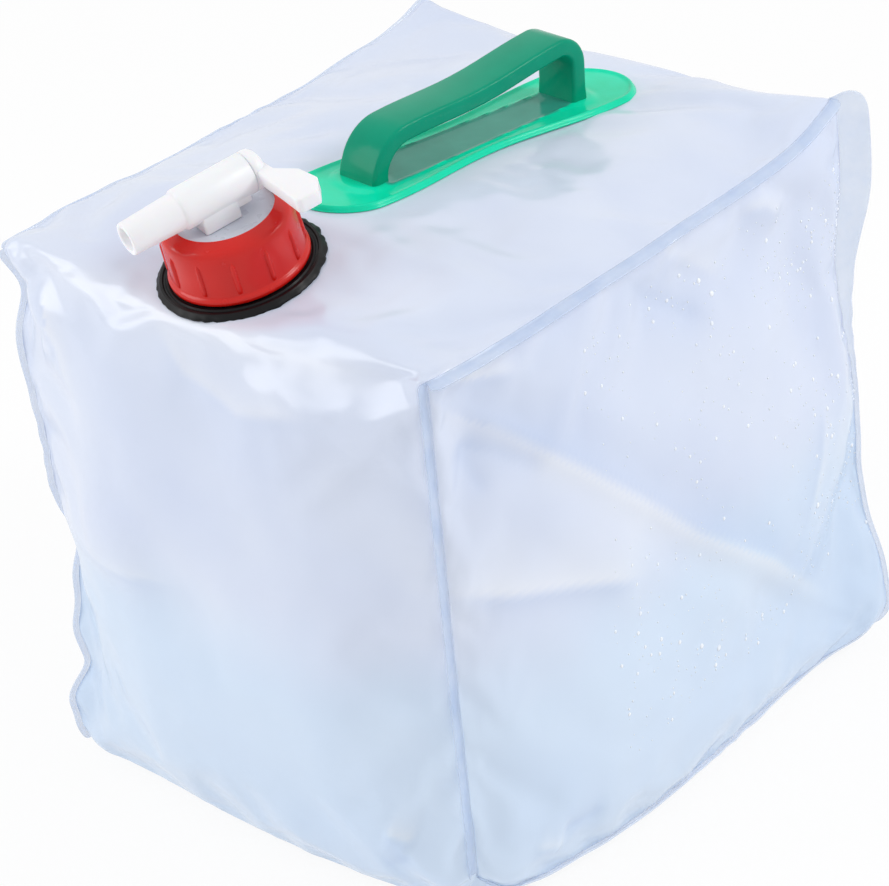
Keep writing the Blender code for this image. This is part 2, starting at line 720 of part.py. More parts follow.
def build_tap_plug(lever_axis):
    plug = new_part("tap_plug", profile_mesh("tap_plug", plug_profile(), False), WHITE, lever_axis)
    turn(plug)
    plug.rotation_euler = (math.pi / 2, 0, 0)
    lever_mesh = outline_mesh("plug_lever", lever_outline(), LEVER_THICKNESS)
    lever = new_cutter("plug_lever", lever_mesh, lever_axis)
    round_edges(lever, LEVER_ROUND, 1)
    combine(plug, lever, "UNION")
    port_length = PLUG_RADIUS + CUT_OVERRUN
    port_mesh = cylinder_mesh("plug_port", INLET_RADIUS, port_length, BORE_STEPS)
    port = new_cutter("plug_port", port_mesh, lever_axis)
    port.rotation_euler = (0, math.pi / 2, 0)
    port.location = (-port_length / 2, 0, 0)
    combine(plug, port, "DIFFERENCE")


# Handle


def plate_outline():
    """Half widths swell into a lobe under each foot, and both ends are round."""
    half_length = PLATE_LENGTH / 2
    lobe_y = half_length - FOOT_INSET
    right = []
    for index in range(PLATE_POINTS + 1):
        t = index / PLATE_POINTS * 2 - 1
        y = half_length * math.sin(t * math.pi / 2)
        lobe_share = 0.5 - 0.5 * math.cos(math.pi * y / lobe_y)
        half_width = (PLATE_WAIST_WIDTH + (PLATE_LOBE_WIDTH - PLATE_WAIST_WIDTH) * lobe_share) / 2
        past = max(0, abs(y) - (half_length - PLATE_END_ROUND)) / PLATE_END_ROUND
        right.append((half_width * math.sqrt(max(0, 1 - past**2)), y))
    left = [(-x, y) for x, y in reversed(right[1:-1])]
    return right + left


def bend_points(radius, start, end):
    """Points of a bend of the grip about its shoulder centre, in its own plane."""
    centre_y = PLATE_LENGTH / 2 - FOOT_INSET - GRIP_BEND
    centre_z = GRIP_RISE - GRIP_BEND
    points = []
    for index in range(GRIP_BEND_STEPS + 1):
        angle = start + (end - start) * index / GRIP_BEND_STEPS
        points.append((centre_y + radius * math.cos(angle), centre_z + radius * math.sin(angle)))
    return points


def grip_outline():
    """The arch from the side: back half first, then its mirror image towards the front."""
    shoulder = PLATE_LENGTH / 2 - FOOT_INSET
    foot_outer = shoulder + GRIP_FOOT_SPREAD
    foot_inner = foot_outer - GRIP_FOOT_THICKNESS
    outer = [(foot_outer, 0)] + bend_points(GRIP_BEND, 0, math.pi / 2)
    inner = bend_points(GRIP_BEND - GRIP_THICKNESS, math.pi / 2, 0) + [(foot_inner, 0)]
    mirrored_outer = [(-y, z) for y, z in reversed(outer)]
    mirrored_inner = [(-y, z) for y, z in reversed(inner)]
    return outer + mirrored_outer + mirrored_inner + inner


def build_handle(handle_axis):
    plate_mesh = outline_mesh("handle_plate", plate_outline(), PLATE_THICKNESS)
    plate = new_part("handle_plate", plate_mesh, MINT, handle_axis)
    plate.location = (0, 0, FIT_GAP + PLATE_THICKNESS / 2)
    plate.rotation_euler = (0, 0, HANDLE_TURN)

    grip_mesh = outline_mesh("handle_grip", grip_outline(), GRIP_WIDTH)
    grip = new_part("handle_grip", grip_mesh, GREEN, handle_axis)
    grip.rotation_euler = (math.pi / 2, 0, math.pi / 2 + HANDLE_TURN)
    ahead = Vector((0, -GRIP_AHEAD, GRIP_BASE))
    grip.location = Matrix.Rotation(HANDLE_TURN, 3, "Z") @ ahead
    round_edges(grip, GRIP_EDGE_ROUND, 2)


bag_axis = new_axis("bag", (0, 0, 0))
top_axis = new_axis("top", (0, 0, 0), bag_axis)
neck_axis = new_axis("neck_axis", (NECK_X, NECK_Y, NECK_Z), top_axis, (NECK_TILT, 0, 0))
spigot_axis = new_axis("spigot_axis", (0, 0, 0), neck_axis)
tap_axis = new_axis("tap_axis", (0, 0, 0), spigot_axis, (0, 0, TAP_TURN))
lever_axis = new_axis("lever_axis", (0, 0, BARREL_AXIS), tap_axis)
handle_place = (HANDLE_X, HANDLE_Y, BAG_HEIGHT + top_height(HANDLE_Y))
handle_axis = new_axis("handle_axis", handle_place, top_axis, (-RIDGE_FALL, 0, 0))

build_bag(bag_axis, top_axis, neck_axis)
build_neck(neck_axis)
build_washer(spigot_axis)
build_collar(spigot_axis)
build_tap_body(tap_axis)
build_tap_plug(lever_axis)
build_handle(handle_axis)
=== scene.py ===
"""Full water carrier of clear film: camera, light, floor, then a section for each piece."""

import math

import bmesh
import bpy
import numpy as np
from mathutils import Matrix, Vector, noise


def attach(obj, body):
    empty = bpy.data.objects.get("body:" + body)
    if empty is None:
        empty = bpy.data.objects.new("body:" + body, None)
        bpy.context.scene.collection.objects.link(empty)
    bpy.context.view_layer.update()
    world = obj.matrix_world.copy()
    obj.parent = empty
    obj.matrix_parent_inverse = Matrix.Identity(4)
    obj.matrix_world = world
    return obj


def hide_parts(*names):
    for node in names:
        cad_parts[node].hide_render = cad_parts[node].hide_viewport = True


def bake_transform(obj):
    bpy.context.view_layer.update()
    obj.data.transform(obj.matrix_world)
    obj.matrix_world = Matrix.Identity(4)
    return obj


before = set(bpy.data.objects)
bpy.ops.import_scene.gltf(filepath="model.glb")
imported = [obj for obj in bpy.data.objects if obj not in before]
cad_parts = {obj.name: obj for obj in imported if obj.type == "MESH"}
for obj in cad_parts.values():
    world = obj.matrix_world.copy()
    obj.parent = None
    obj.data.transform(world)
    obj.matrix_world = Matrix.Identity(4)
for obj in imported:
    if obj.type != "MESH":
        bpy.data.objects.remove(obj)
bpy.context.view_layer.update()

# Camera. It stands at the front right and looks down on the bag, as for the photograph. Its turn,
# height, roll and distance are fitted together to where the bag's corners are seen.

IMAGE_WIDTH = 889
CAMERA_TURN = math.radians(43.307)
CAMERA_HEIGHT = math.radians(30.382)
CAMERA_ROLL = math.radians(-5.937)
CAMERA_DISTANCE = 1.3672
FOCAL_PIXELS = 3000
SENSOR_WIDTH = 36
LOOK_HEIGHT = 0.13
SHIFT_RIGHT = 0.0046
SHIFT_UP = -0.0055
CAMERA_SEES_TO = 50


def add_object(name, data):
    """Puts a camera, a lamp or a mesh into the scene."""
    made = bpy.data.objects.new(name, data)
    bpy.context.scene.collection.objects.link(made)
    return made


def place_camera():
    """Aims the camera along its turn, height and roll at a point above the ground."""
    side = Vector((math.cos(CAMERA_TURN), math.sin(CAMERA_TURN), 0))
    ahead = Vector(
        (
            -math.sin(CAMERA_TURN) * math.cos(CAMERA_HEIGHT),
            math.cos(CAMERA_TURN) * math.cos(CAMERA_HEIGHT),
            -math.sin(CAMERA_HEIGHT),
        )
    )
    level_up = side.cross(ahead)
    right = side * math.cos(CAMERA_ROLL) + level_up * math.sin(CAMERA_ROLL)
    up = level_up * math.cos(CAMERA_ROLL) - side * math.sin(CAMERA_ROLL)
    target = Vector((0, 0, LOOK_HEIGHT)) - right * SHIFT_RIGHT - up * SHIFT_UP
    data = bpy.data.cameras.new("camera")
    data.sensor_fit = "HORIZONTAL"
    data.sensor_width = SENSOR_WIDTH
    data.lens = SENSOR_WIDTH * FOCAL_PIXELS / IMAGE_WIDTH
    data.clip_end = CAMERA_SEES_TO
    camera = add_object("camera", data)
    turned = Matrix((right, up, -ahead)).transposed().to_4x4()
    camera.matrix_world = Matrix.Translation(target - ahead * CAMERA_DISTANCE) @ turned
    bpy.context.scene.camera = camera


place_camera()


# Light. A white photo room whose light grows towards the ceiling, with a large soft lamp on the
# left and a smaller one of about the same power on the right.


def linear(hex_colour, alpha=1.0):
    """An sRGB colour such as 'DDE6F5' as linear numbers."""
    parts = [int(hex_colour[i : i + 2], 16) / 255 for i in (0, 2, 4)]
    return (*[p / 12.92 if p <= 0.04045 else ((p + 0.055) / 1.055) ** 2.4 for p in parts], alpha)


def feed(tree, socket, value):
    """Gives a socket a number, a vector, a hex colour, an output, or a node's first live output."""
    if isinstance(value, bpy.types.Node):
        value = next(output for output in value.outputs if output.enabled)
    if isinstance(value, bpy.types.NodeSocket):
        tree.links.new(value, socket)
    else:
        socket.default_value = linear(value) if isinstance(value, str) else value


def add_node(tree, kind, inputs=None, **settings):
    """Adds a shader node with its settings and what feeds its inputs."""
    made = tree.nodes.new("ShaderNode" + kind)
    for name, value in settings.items():
        setattr(made, name, value)
    for name, value in (inputs or {}).items():
        feed(tree, made.inputs[name], value)
    return made


ROOM_LIGHT, OVERHEAD_LIGHT = 0.60, 0.72
HORIZON, OVERHEAD = -0.1, 1.0
LAMP_AIM = (0, 0, 0.15)
KEY_PLACE, KEY_POWER, KEY_SIZE = (-1.1, -1.2, 1.0), 9.5, 1.0
FILL_PLACE, FILL_POWER, FILL_SIZE = (1.2, 0.7, 1.4), 10.5, 0.6


def seen_directly(tree):
    """1 for camera, mirror and see-through rays, 0 for the rays that light the object."""
    path = add_node(tree, "LightPath").outputs
    sources = {0: path["Is Camera Ray"], 1: path["Is Glossy Ray"]}
    mirrored = add_node(tree, "Math", sources, operation="MAXIMUM")
    return add_node(tree, "Math", {0: mirrored, 1: path["Is Transmission Ray"]}, operation="MAXIMUM")


def light_room():
    """Room light that grows towards the ceiling, and white behind the object."""
    world = bpy.data.worlds.new("white_room")
    bpy.context.scene.world = world
    world.use_nodes = True
    tree = world.node_tree
    tree.nodes.clear()
    direction = add_node(tree, "TexCoord").outputs["Generated"]
    height = add_node(tree, "SeparateXYZ", {0: direction}).outputs["Z"]
    span = {"From Min": HORIZON, "From Max": OVERHEAD, "To Min": ROOM_LIGHT, "To Max": OVERHEAD_LIGHT}
    level = add_node(tree, "MapRange", {"Value": height, **span})
    room = add_node(tree, "Background", {"Color": "FFFFFF", "Strength": level})
    white = add_node(tree, "Background", {"Color": "FFFFFF", "Strength": 1.0})
    mix = add_node(tree, "MixShader", {0: seen_directly(tree), 1: room, 2: white})
    add_node(tree, "OutputWorld", {"Surface": mix})


def add_light(name, place, power, size):
    """A square lamp that points at the middle of the bag."""
    data = bpy.data.lights.new(name, "AREA")
    data.energy = power
    data.size = size
    lamp = add_object(name, data)
    lamp.location = place
    aim = Vector(LAMP_AIM) - Vector(place)
    lamp.rotation_euler = aim.to_track_quat("-Z", "Y").to_euler()


light_room()
add_light("key", KEY_PLACE, KEY_POWER, KEY_SIZE)
add_light("fill", FILL_PLACE, FILL_POWER, FILL_SIZE)
bpy.context.scene.view_settings.view_transform = "Standard"


# Floor. A white painted studio floor, matt, so the bag stands in one soft shadow. It glows for the
# camera, as the photograph's floor is burnt out to white.

MM = 0.001
FLOOR_SIZE = 6.0
FLOOR_WHITENING = 0.9
PAINT_CLOUD = 400.0
# A Mix node's sockets for colours
FACTOR, FIRST, SECOND = 0, 6, 7


def new_material(name, base, roughness, **constants):
    """A material with its shader's constants set; the caller adds the pattern."""
    material = bpy.data.materials.new(name)
    material.use_nodes = True
    tree = material.node_tree
    shader = tree.nodes["Principled BSDF"]
    shader.inputs["Base Color"].default_value = linear(base)
    shader.inputs["Roughness"].default_value = roughness
    for key, value in constants.items():
        shader.inputs[key.replace("_", " ")].default_value = value
    return material, tree, shader


def clouds(tree, size, first, second, detail=3, shift=0):
    """Two near shades in soft clouds of so many millimetres; a shift gives other clouds."""
    place = add_node(tree, "TexCoord").outputs["Object"]
    moved = add_node(tree, "Mapping", {"Vector": place, "Location": (shift, shift, shift)})
    cloud = add_node(tree, "TexNoise", {"Vector": moved, "Scale": 1 / (size * MM), "Detail": detail})
    return add_node(tree, "Mix", {FACTOR: cloud, FIRST: first, SECOND: second}, data_type="RGBA")


def finish_piece(name, bm, material, place=None, smooth_angle=40):
    """Ends a mesh made in millimetres as an object in metres, unturned and unscaled."""
    bmesh.ops.recalc_face_normals(bm, faces=bm.faces)
    matrix = Matrix.Scale(MM, 4) @ (place or Matrix.Identity(4))
    bmesh.ops.transform(bm, matrix=matrix, verts=bm.verts)
    mesh = bpy.data.meshes.new(name)
    bm.to_mesh(mesh)
    bm.free()
    mesh.shade_smooth()
    mesh.set_sharp_from_angle(angle=math.radians(smooth_angle))
    mesh.materials.append(material)
    return add_object(name, mesh)


def add_floor():
    """A flat square under the bag, in faintly uneven white paint."""
    bm = bmesh.new()
    bmesh.ops.create_grid(bm, x_segments=4, y_segments=4, size=FLOOR_SIZE / 2 / MM)
    floor_white, tree, shader = new_material("painted_floor", "FFFFFF", 0.9)
    feed(tree, shader.inputs["Base Color"], clouds(tree, PAINT_CLOUD, "FAFAFC", "FFFFFF"))
    glow = add_node(tree, "Emission", {"Color": "FFFFFF", "Strength": 1.0})
    share = add_node(tree, "Math", {0: seen_directly(tree), 1: FLOOR_WHITENING}, operation="MULTIPLY")
    mix = add_node(tree, "MixShader", {0: share, 1: shader, 2: glow})
    feed(tree, tree.nodes["Material Output"].inputs["Surface"], mix)
    finish_piece("floor", bm, floor_white)


add_floor()


# Film. The bag is one wrapped strip (bottom, front, top and back) and two side panels of clear
# PVC film, welded along the sides. Cloth simulation lets the filled form settle between its welds.

BAG_HALF = (122.5, 142.5, 136.0)
TOP_ROUND, BOTTOM_ROUND = 7.0, 24.0
# Fullness of the side walls, and of front and back, with the share of it left at foot and head
SIDE_SWELL, SIDE_FOOT, SIDE_HEAD = 13.0, 1.1, 0.1
END_SWELL, END_FOOT, END_HEAD = 19.0, 0.5, 0.27
PINCH = 2.0
BACK_FLARE = 7.0
FRONT_LIFT, BACK_LIFT = 3.0, 9.0
LEFT_SAG, SAG_START = 5.0, 0.45
EAR_DROOP, EAR_REACH = 7.0, 4.0
FRONT_FOOT_LIFT, FRONT_FOOT_PUSH, BACK_FOOT_PUSH = 15.0, 7.0, 15.0
FOOT_HEIGHT = 0.2
DIAGONAL_CREST, DIAGONAL_SLOPE = 5.0, 18.0
NECK_TILT = math.radians(11.5)
NECK_PLACE = (-4.0, -110.853, 275.0)
RIDGE_Y, RIDGE_HEIGHT = -73.576, 10.584
RIDGE_FALL = math.radians(3)
CREST_HALF_WIDTH = 46.0
FILM_CELLS = 64
EDGE_CROWD = 0.8


def swell(w, foot, head):
    """The share of a wall's fullness at height w: foot at -1, full between, head at 1."""
    return foot + (head - foot) * (1 + w) / 2 + (1 - (foot + head) / 2) * (1 - w * w)


def smoothstep(t):
    """0 up to t = 0, 1 from t = 1, and a soft rise between."""
    t = np.clip(t, 0, 1)
    return t * t * (3 - 2 * t)


def filled_form(u, v, w, slack=0.0):
    """The filled bag's outer face, in millimetres, at points of a cube from -1 to 1.

    With slack, the walls are so much flatter in the middle, as before the water fills them out.
    """
    half = np.array(BAG_HALF)
    high = (1 + w) / 2
    radius = (BOTTOM_ROUND + (TOP_ROUND - BOTTOM_ROUND) * high)[:, None]
    skin = np.stack([u, v, w], 1) * half
    core = np.maximum(radius - half, np.minimum(half - radius, skin))
    away = skin - core
    point = core + away / np.linalg.norm(away, axis=1, keepdims=True) * radius
    x, y, z = point.T
    flatter = slack * (1 - w**4)
    x = x + u * (1 - v * v) * (SIDE_SWELL * swell(w, SIDE_FOOT, SIDE_HEAD) - flatter)
    y = y + v * (1 - u * u) * (END_SWELL * swell(w, END_FOOT, END_HEAD) - flatter)
    flare = (np.maximum(0, u) * np.maximum(0, v)) ** 4 * (1 - w**4) * BACK_FLARE
    pinch = (u * v) ** 2 * (1 - w * w) * PINCH
    x = x + flare - u * pinch
    y = y + flare - v * pinch
    sag = smoothstep((-u - SAG_START) / (1 - SAG_START)) * (1 - v * v) * LEFT_SAG
    lift = (u * v) ** 6 * (FRONT_LIFT + (BACK_LIFT - FRONT_LIFT) * (1 + v) / 2)
    neck_slope = NECK_PLACE[2] - 2 * BAG_HALF[2] + (y - NECK_PLACE[1]) * math.tan(NECK_TILT)
    ridge = RIDGE_HEIGHT - (y - RIDGE_Y) * math.tan(RIDGE_FALL)
    past = (np.abs(x) - CREST_HALF_WIDTH) / (BAG_HALF[0] - CREST_HALF_WIDTH)
    rise = np.minimum(neck_slope, ridge) * (1 - smoothstep(past))
    z = z + BAG_HALF[2] + high**3 * (lift - sag + rise)
    right, left, front, back = (np.maximum(0, t) for t in (u, -u, -v, v))
    ear = (left * front) ** 8 * high**4
    low = np.exp(-((high / FOOT_HEIGHT) ** 2))
    push = (left * front) ** 4 * low * FRONT_FOOT_PUSH
    off_diagonal = np.abs(v + w) * half[1] * half[2] / math.hypot(half[1], half[2])
    slope = np.exp(-off_diagonal / DIAGONAL_SLOPE) * (1 - (v * w) ** 2)
    x = x - ear * EAR_REACH - push
    x = x + (right * back) ** 4 * low * BACK_FOOT_PUSH + right**4 * slope * DIAGONAL_CREST
    z = z - ear * EAR_DROOP + (right * front) ** 4 * low * FRONT_FOOT_LIFT
    return np.stack([x, y - push, z], 1)


# Dents and bulges of the real film: centre, reach and push, in millimetres
PUSHES = [
    ((-122, -138, 247), 16, (5, 7, 0)),
    ((-120, -140, 121), 15, (5, 6, 0)),
    ((-120, -140, 51), 9, (2, 3, 0)),
    ((-120, -140, 72), 10, (-2, -2, 0)),
    ((-120, -140, 34), 9, (-2, -3, 0)),
    ((126, 140, 205), 52, (-8.0, -7.0, 0)),
    ((124, 138, 276), 26, (-2.5, -2.5, 0)),
    ((132, 142, 22), 40, (5.0, 4.0, -1.0)),
    ((129, -40, 225), 26, (-3.0, 0, 0)),
    ((128, 20, 240), 22, (-3.5, 0, 0)),
    ((130, 62, 205), 24, (1.5, 0, 0)),
    ((131, -95, 176), 22, (3.0, 0, 0)),
    ((134, -20, 120), 30, (-4.0, 0, 0)),
    ((134, 40, 60), 30, (-4.5, 0, 0)),
    ((131, -70, 80), 36, (2.0, 0, 0)),
    ((133, 80, 150), 40, (2.0, 0, 0)),
    ((124, -122, 52), 12, (2.0, -1.0, 0)),
    ((100, -101, 274), 10, (0, 0, -2.0)),
    ((86, -122, 274), 14, (0, 0, 1.5)),
    ((60, 40, 274), 30, (0, 0, -2.0)),
    ((60, -150, 225), 34, (0, -3.0, 0)),
    ((10, -152, 235), 22, (0, 3.5, 0)),
    ((-50, -152, 225), 26, (0, -3.5, 0)),
    ((-55, -158, 150), 22, (0, -4.0, 0)),
    ((-15, -158, 130), 30, (0, 4.0, 0)),
    ((70, -156, 120), 30, (0, -2.0, 0)),
    ((30, -155, 60), 34, (0, 2.5, 0)),
    ((-70, -150, 60), 30, (0, -2.0, 0)),
]

# Folds: how far the crest stands out (less than 0 is a groove), the reach of its slopes above and
# below in millimetres, how much painted highlight (or, less than 0, painted shade) lies above and
# below the line, and the points it follows
FOLDS = [
    (
        (3.0, 20, 9, -0.8, 0.9),
        [(118, -141, 264), (124, -108, 238), (129, -66, 200), (133, -33, 169), (136, 2, 134)]
        + [(134, 50, 96), (129, 103, 45)],
    ),
    ((2.4, 14, 8, 0.8, -0.7), [(116, -138, 174), (127, -100, 158), (132, -64, 144), (134, -37, 132)]),
    ((-3.2, 8, 12, -0.7, -0.5), [(123, -22, 266), (127, -4, 247), (130, 31, 220)]),
    ((1.6, 10, 8, 0.5, 0.0), [(119, -2, 271), (126, 14, 258), (129, 44, 236)]),
    ((1.6, 6, 6, 0.6, -0.4), [(124, 60, 258), (125, 76, 254), (126, 93, 243)]),
    ((2.0, 6, 6, 0.9, -0.3), [(120, -135, 270), (122, -121, 264), (124, -92, 255)]),
    ((-2.0, 9, 5, -0.8, -0.6), [(124, -130, 239), (127, -108, 226), (127, -86, 209)]),
    ((-1.6, 5, 6, -0.5, -0.4), [(124, -128, 237), (124, -116, 210)]),
    ((2.0, 8, 8, 0.7, -0.4), [(-93, -144, 263), (-87, -147, 242), (-81, -148, 234), (-74, -150, 215)]),
    ((1.2, 6, 6, 0.5, -0.3), [(-94, -146, 232), (-84, -148, 228)]),
    ((2.0, 10, 16, 0.5, -0.3), [(-20, -146, 262), (-2, -150, 245), (30, -152, 238), (70, -150, 246)]),
    ((1.6, 10, 8, 0.4, -0.4), [(-112, -143, 150), (-90, -150, 138), (-60, -155, 136), (-20, -157, 140)]),
    ((2.2, 6, 6, 0.7, -0.6), [(80, -149, 49), (92, -147, 44)]),
    ((-1.6, 6, 6, -0.8, -0.4), [(76, -148, 27), (91, -147, 37)]),
    ((-2.2, 7, 6, -0.9, -0.4), [(128, -100, 36), (131, -72, 32)]),
    ((1.4, 5, 5, 0.6, -0.4), [(126, -112, 34), (128, -96, 27)]),
    ((0.8, 8, 6, -0.5, 0.3), [(131, 101, 150), (131, 92, 118), (132, 82, 92)]),
    ((1.0, 8, 9, 0.6, 0.5), filled_form(np.linspace(-0.97, 0.97, 14), -np.ones(14), np.ones(14))),
]
FOLD_ROUND = 1.8
WALL_DEPTH = 15.0


def outward_of(points):
    """A direction that turns smoothly from wall to wall, so neighbouring sheets stay together."""
    middle = np.array((0, 0, BAG_HALF[2]))
    share = (points - middle) / np.array(BAG_HALF)
    away = np.sign(share) * np.abs(share) ** 5
    return away / np.linalg.norm(away, axis=1, keepdims=True)


def distance_to_line(points, line):
    """Each point's distance over the wall to a line, how far along it, and whether it lies above."""
    nearest = np.full(len(points), 1e9)
    along = np.zeros(len(points))
    above = np.zeros(len(points), bool)
    passed = 0.0
    for first, last in zip(line, line[1:]):
        a, b = np.array(first, float), np.array(last, float)
        length = np.linalg.norm(b - a)
        share = np.clip((points - a) @ (b - a) / length**2, 0, 1)
        away = outward_of((a + b)[None] / 2)[0]
        off = points - a - share[:, None] * (b - a)
        depth = off @ away
        off -= depth[:, None] * away
        far = np.hypot(np.linalg.norm(off, axis=1), np.maximum(0, np.abs(depth) - WALL_DEPTH))
        closer = far < nearest
        nearest[closer] = far[closer]
        along[closer] = passed + share[closer] * length
        above[closer] = off[closer, 2] > 0
        passed += length
    return nearest, along, above


WRINKLE_HEIGHT, WRINKLE_SIZE = 2.2, 52.0
FINE_HEIGHT, FINE_SIZE = 0.3, 2.6
# The film stays flat under the plate, round the neck and at the foot
FOOT_FLAT, TOP_FLAT = 14.0, 255.0
PLATE_MIDDLE, PLATE_FLAT = (2.0, 27.0), (44.0, 140.0)
NECK_FLAT = 56.0


def hand_wrinkles(points):
    """Soft crumples of film that has been folded flat, none of them under the neck or the plate."""
    heights = np.empty(len(points))
    for i, point in enumerate(points):
        place = Vector(point) / WRINKLE_SIZE
        fine = noise.noise(place * FINE_SIZE + Vector((7, 3, 1)))
        heights[i] = noise.noise(place) + FINE_HEIGHT * fine
    x, y, z = points.T
    top = smoothstep((z - TOP_FLAT) / 12)
    beside = smoothstep((PLATE_FLAT[0] - np.abs(x - PLATE_MIDDLE[0])) / 14)
    plate = beside * smoothstep((PLATE_FLAT[1] - np.abs(y - PLATE_MIDDLE[1])) / 20)
    neck = smoothstep((NECK_FLAT - np.hypot(x - NECK_PLACE[0], y - NECK_PLACE[1])) / 16)
    foot = smoothstep((FOOT_FLAT - z) / 12)
    return WRINKLE_HEIGHT * heights * (1 - top * np.maximum(plate, neck)) * (1 - foot)


def weld_lines():
    """The eight welds of the side panels on the plain form, each as a short run of points."""
    lines = []
    for u in (-1, 1):
        for ends in (((-1, 1), (1, 1)), ((-1, -1), (1, -1)), ((-1, -1), (-1, 1)), ((1, -1), (1, 1))):
            steps = np.linspace(*ends, 10)
            lines.append(filled_form(np.full(10, float(u)), steps[:, 0], steps[:, 1]))
    return lines


WELD_LINES = weld_lines()
PUCKER_HEIGHT, PUCKER_SPACING, PUCKER_REACH = 0.18, 26.0, 14.0
PUCKER_DRIFT, PUCKER_FADE = 37.0, 23.0
FOLD_ENDS = 0.3
FOLD_TURN = 5.5
# Share of a fold's slopes that its painted highlight and painted shade spread over
PAINTED_FOLD_REACH = 0.8
FLOOR_GAP = 0.4


def fold_shape(points, reach_above, reach_below, line):
    """How near each point is to a fold (1 on its crest), and from 0 below it to 1 above it."""
    far, along, above = distance_to_line(points, line)
    share = along / sum(math.dist(first, last) for first, last in zip(line, line[1:]))
    fade = smoothstep(np.minimum(share, 1 - share) / FOLD_ENDS + 0.15)
    reach = np.where(above, reach_above, reach_below)
    side = smoothstep(0.5 + np.where(above, far, -far) / FOLD_TURN)
    return np.exp(-(np.hypot(far, FOLD_ROUND) - FOLD_ROUND) / reach) * fade, side


def painted_fold_tone(points):
    """Painted highlight (above 0) and painted shade (below 0) along the folds, at each point."""
    painted_tone = np.zeros(len(points))
    for (_, reach_above, reach_below, painted_light_above, painted_light_below), line in FOLDS:
        near, side = fold_shape(points, reach_above * PAINTED_FOLD_REACH, reach_below * PAINTED_FOLD_REACH, line)
        painted_tone += near * (painted_light_below + (painted_light_above - painted_light_below) * side)
    return np.clip(painted_tone, -1, 1)


def wear_film(points):
    """Adds the film's own dents, bulges, folds and crumples to points of its form."""
    moved = points.copy()
    for centre, reach, push in PUSHES:
        far = np.linalg.norm(points - np.array(centre), axis=1) / reach
        moved += np.exp(-far * far)[:, None] * np.array(push)
    height = hand_wrinkles(points)
    for line in WELD_LINES:
        far, along, _ = distance_to_line(points, line)
        uneven = PUCKER_SPACING * (1 + 0.25 * np.sin(along / PUCKER_DRIFT))
        deep = PUCKER_HEIGHT * (1 + np.sin(along / PUCKER_FADE))
        height += deep * np.exp(-far / PUCKER_REACH) * np.sin(along / uneven * math.tau)
    for (crest, reach_above, reach_below, _, _), line in FOLDS:
        height += crest * fold_shape(points, reach_above, reach_below, line)[0]
    moved += height[:, None] * outward_of(points)
    moved[:, 2] = np.maximum(moved[:, 2], FLOOR_GAP)
    return moved


# The six faces of the cube, by panel number: where the grid point (a, b) of a face lies
PANELS = [
    lambda a, b: (-a, b, -1),
    lambda a, b: (a, -1, b),
    lambda a, b: (a, b, 1),
    lambda a, b: (-a, 1, b),
    lambda a, b: (1, a, b),
    lambda a, b: (-1, -a, b),
]


def crowd(t):
    """Even steps from -1 to 1, moved closer together towards the folds."""
    reach = EDGE_CROWD * math.pi / 2
    return math.sin(t * reach) / math.sin(reach)


FILM_SLACK = 6.0


def film_mesh():
    """All six panels as one closed mesh, each face marked with its panel's number."""
    bm = bmesh.new()
    panel_of = bm.faces.layers.int.new("panel")
    for number, cube_point in enumerate(PANELS):
        known = set(bm.faces)
        made = bmesh.ops.create_grid(bm, x_segments=FILM_CELLS, y_segments=FILM_CELLS, size=1)
        for vert in made["verts"]:
            vert.co = cube_point(crowd(vert.co.x), crowd(vert.co.y))
        for face in bm.faces:
            if face not in known:
                face[panel_of] = number
    bmesh.ops.remove_doubles(bm, verts=bm.verts, dist=0.0001)
    bmesh.ops.recalc_face_normals(bm, faces=bm.faces)
    cube = np.array([vert.co[:] for vert in bm.verts])
    slack = FILM_SLACK
    for vert, place in zip(bm.verts, filled_form(*cube.T, slack)):
        vert.co = place
    return bm, cube


FILM_GIVE = 8.0
FILM_PRESSURE = 0.45
ON_EDGE = 0.999
FLANGE_HELD = 39.0
PLATE_HELD_WIDE, PLATE_HELD_NEAR, PLATE_HELD_FAR = 34.0, -80.0, 128.0
CLOTH_FRAMES = 20


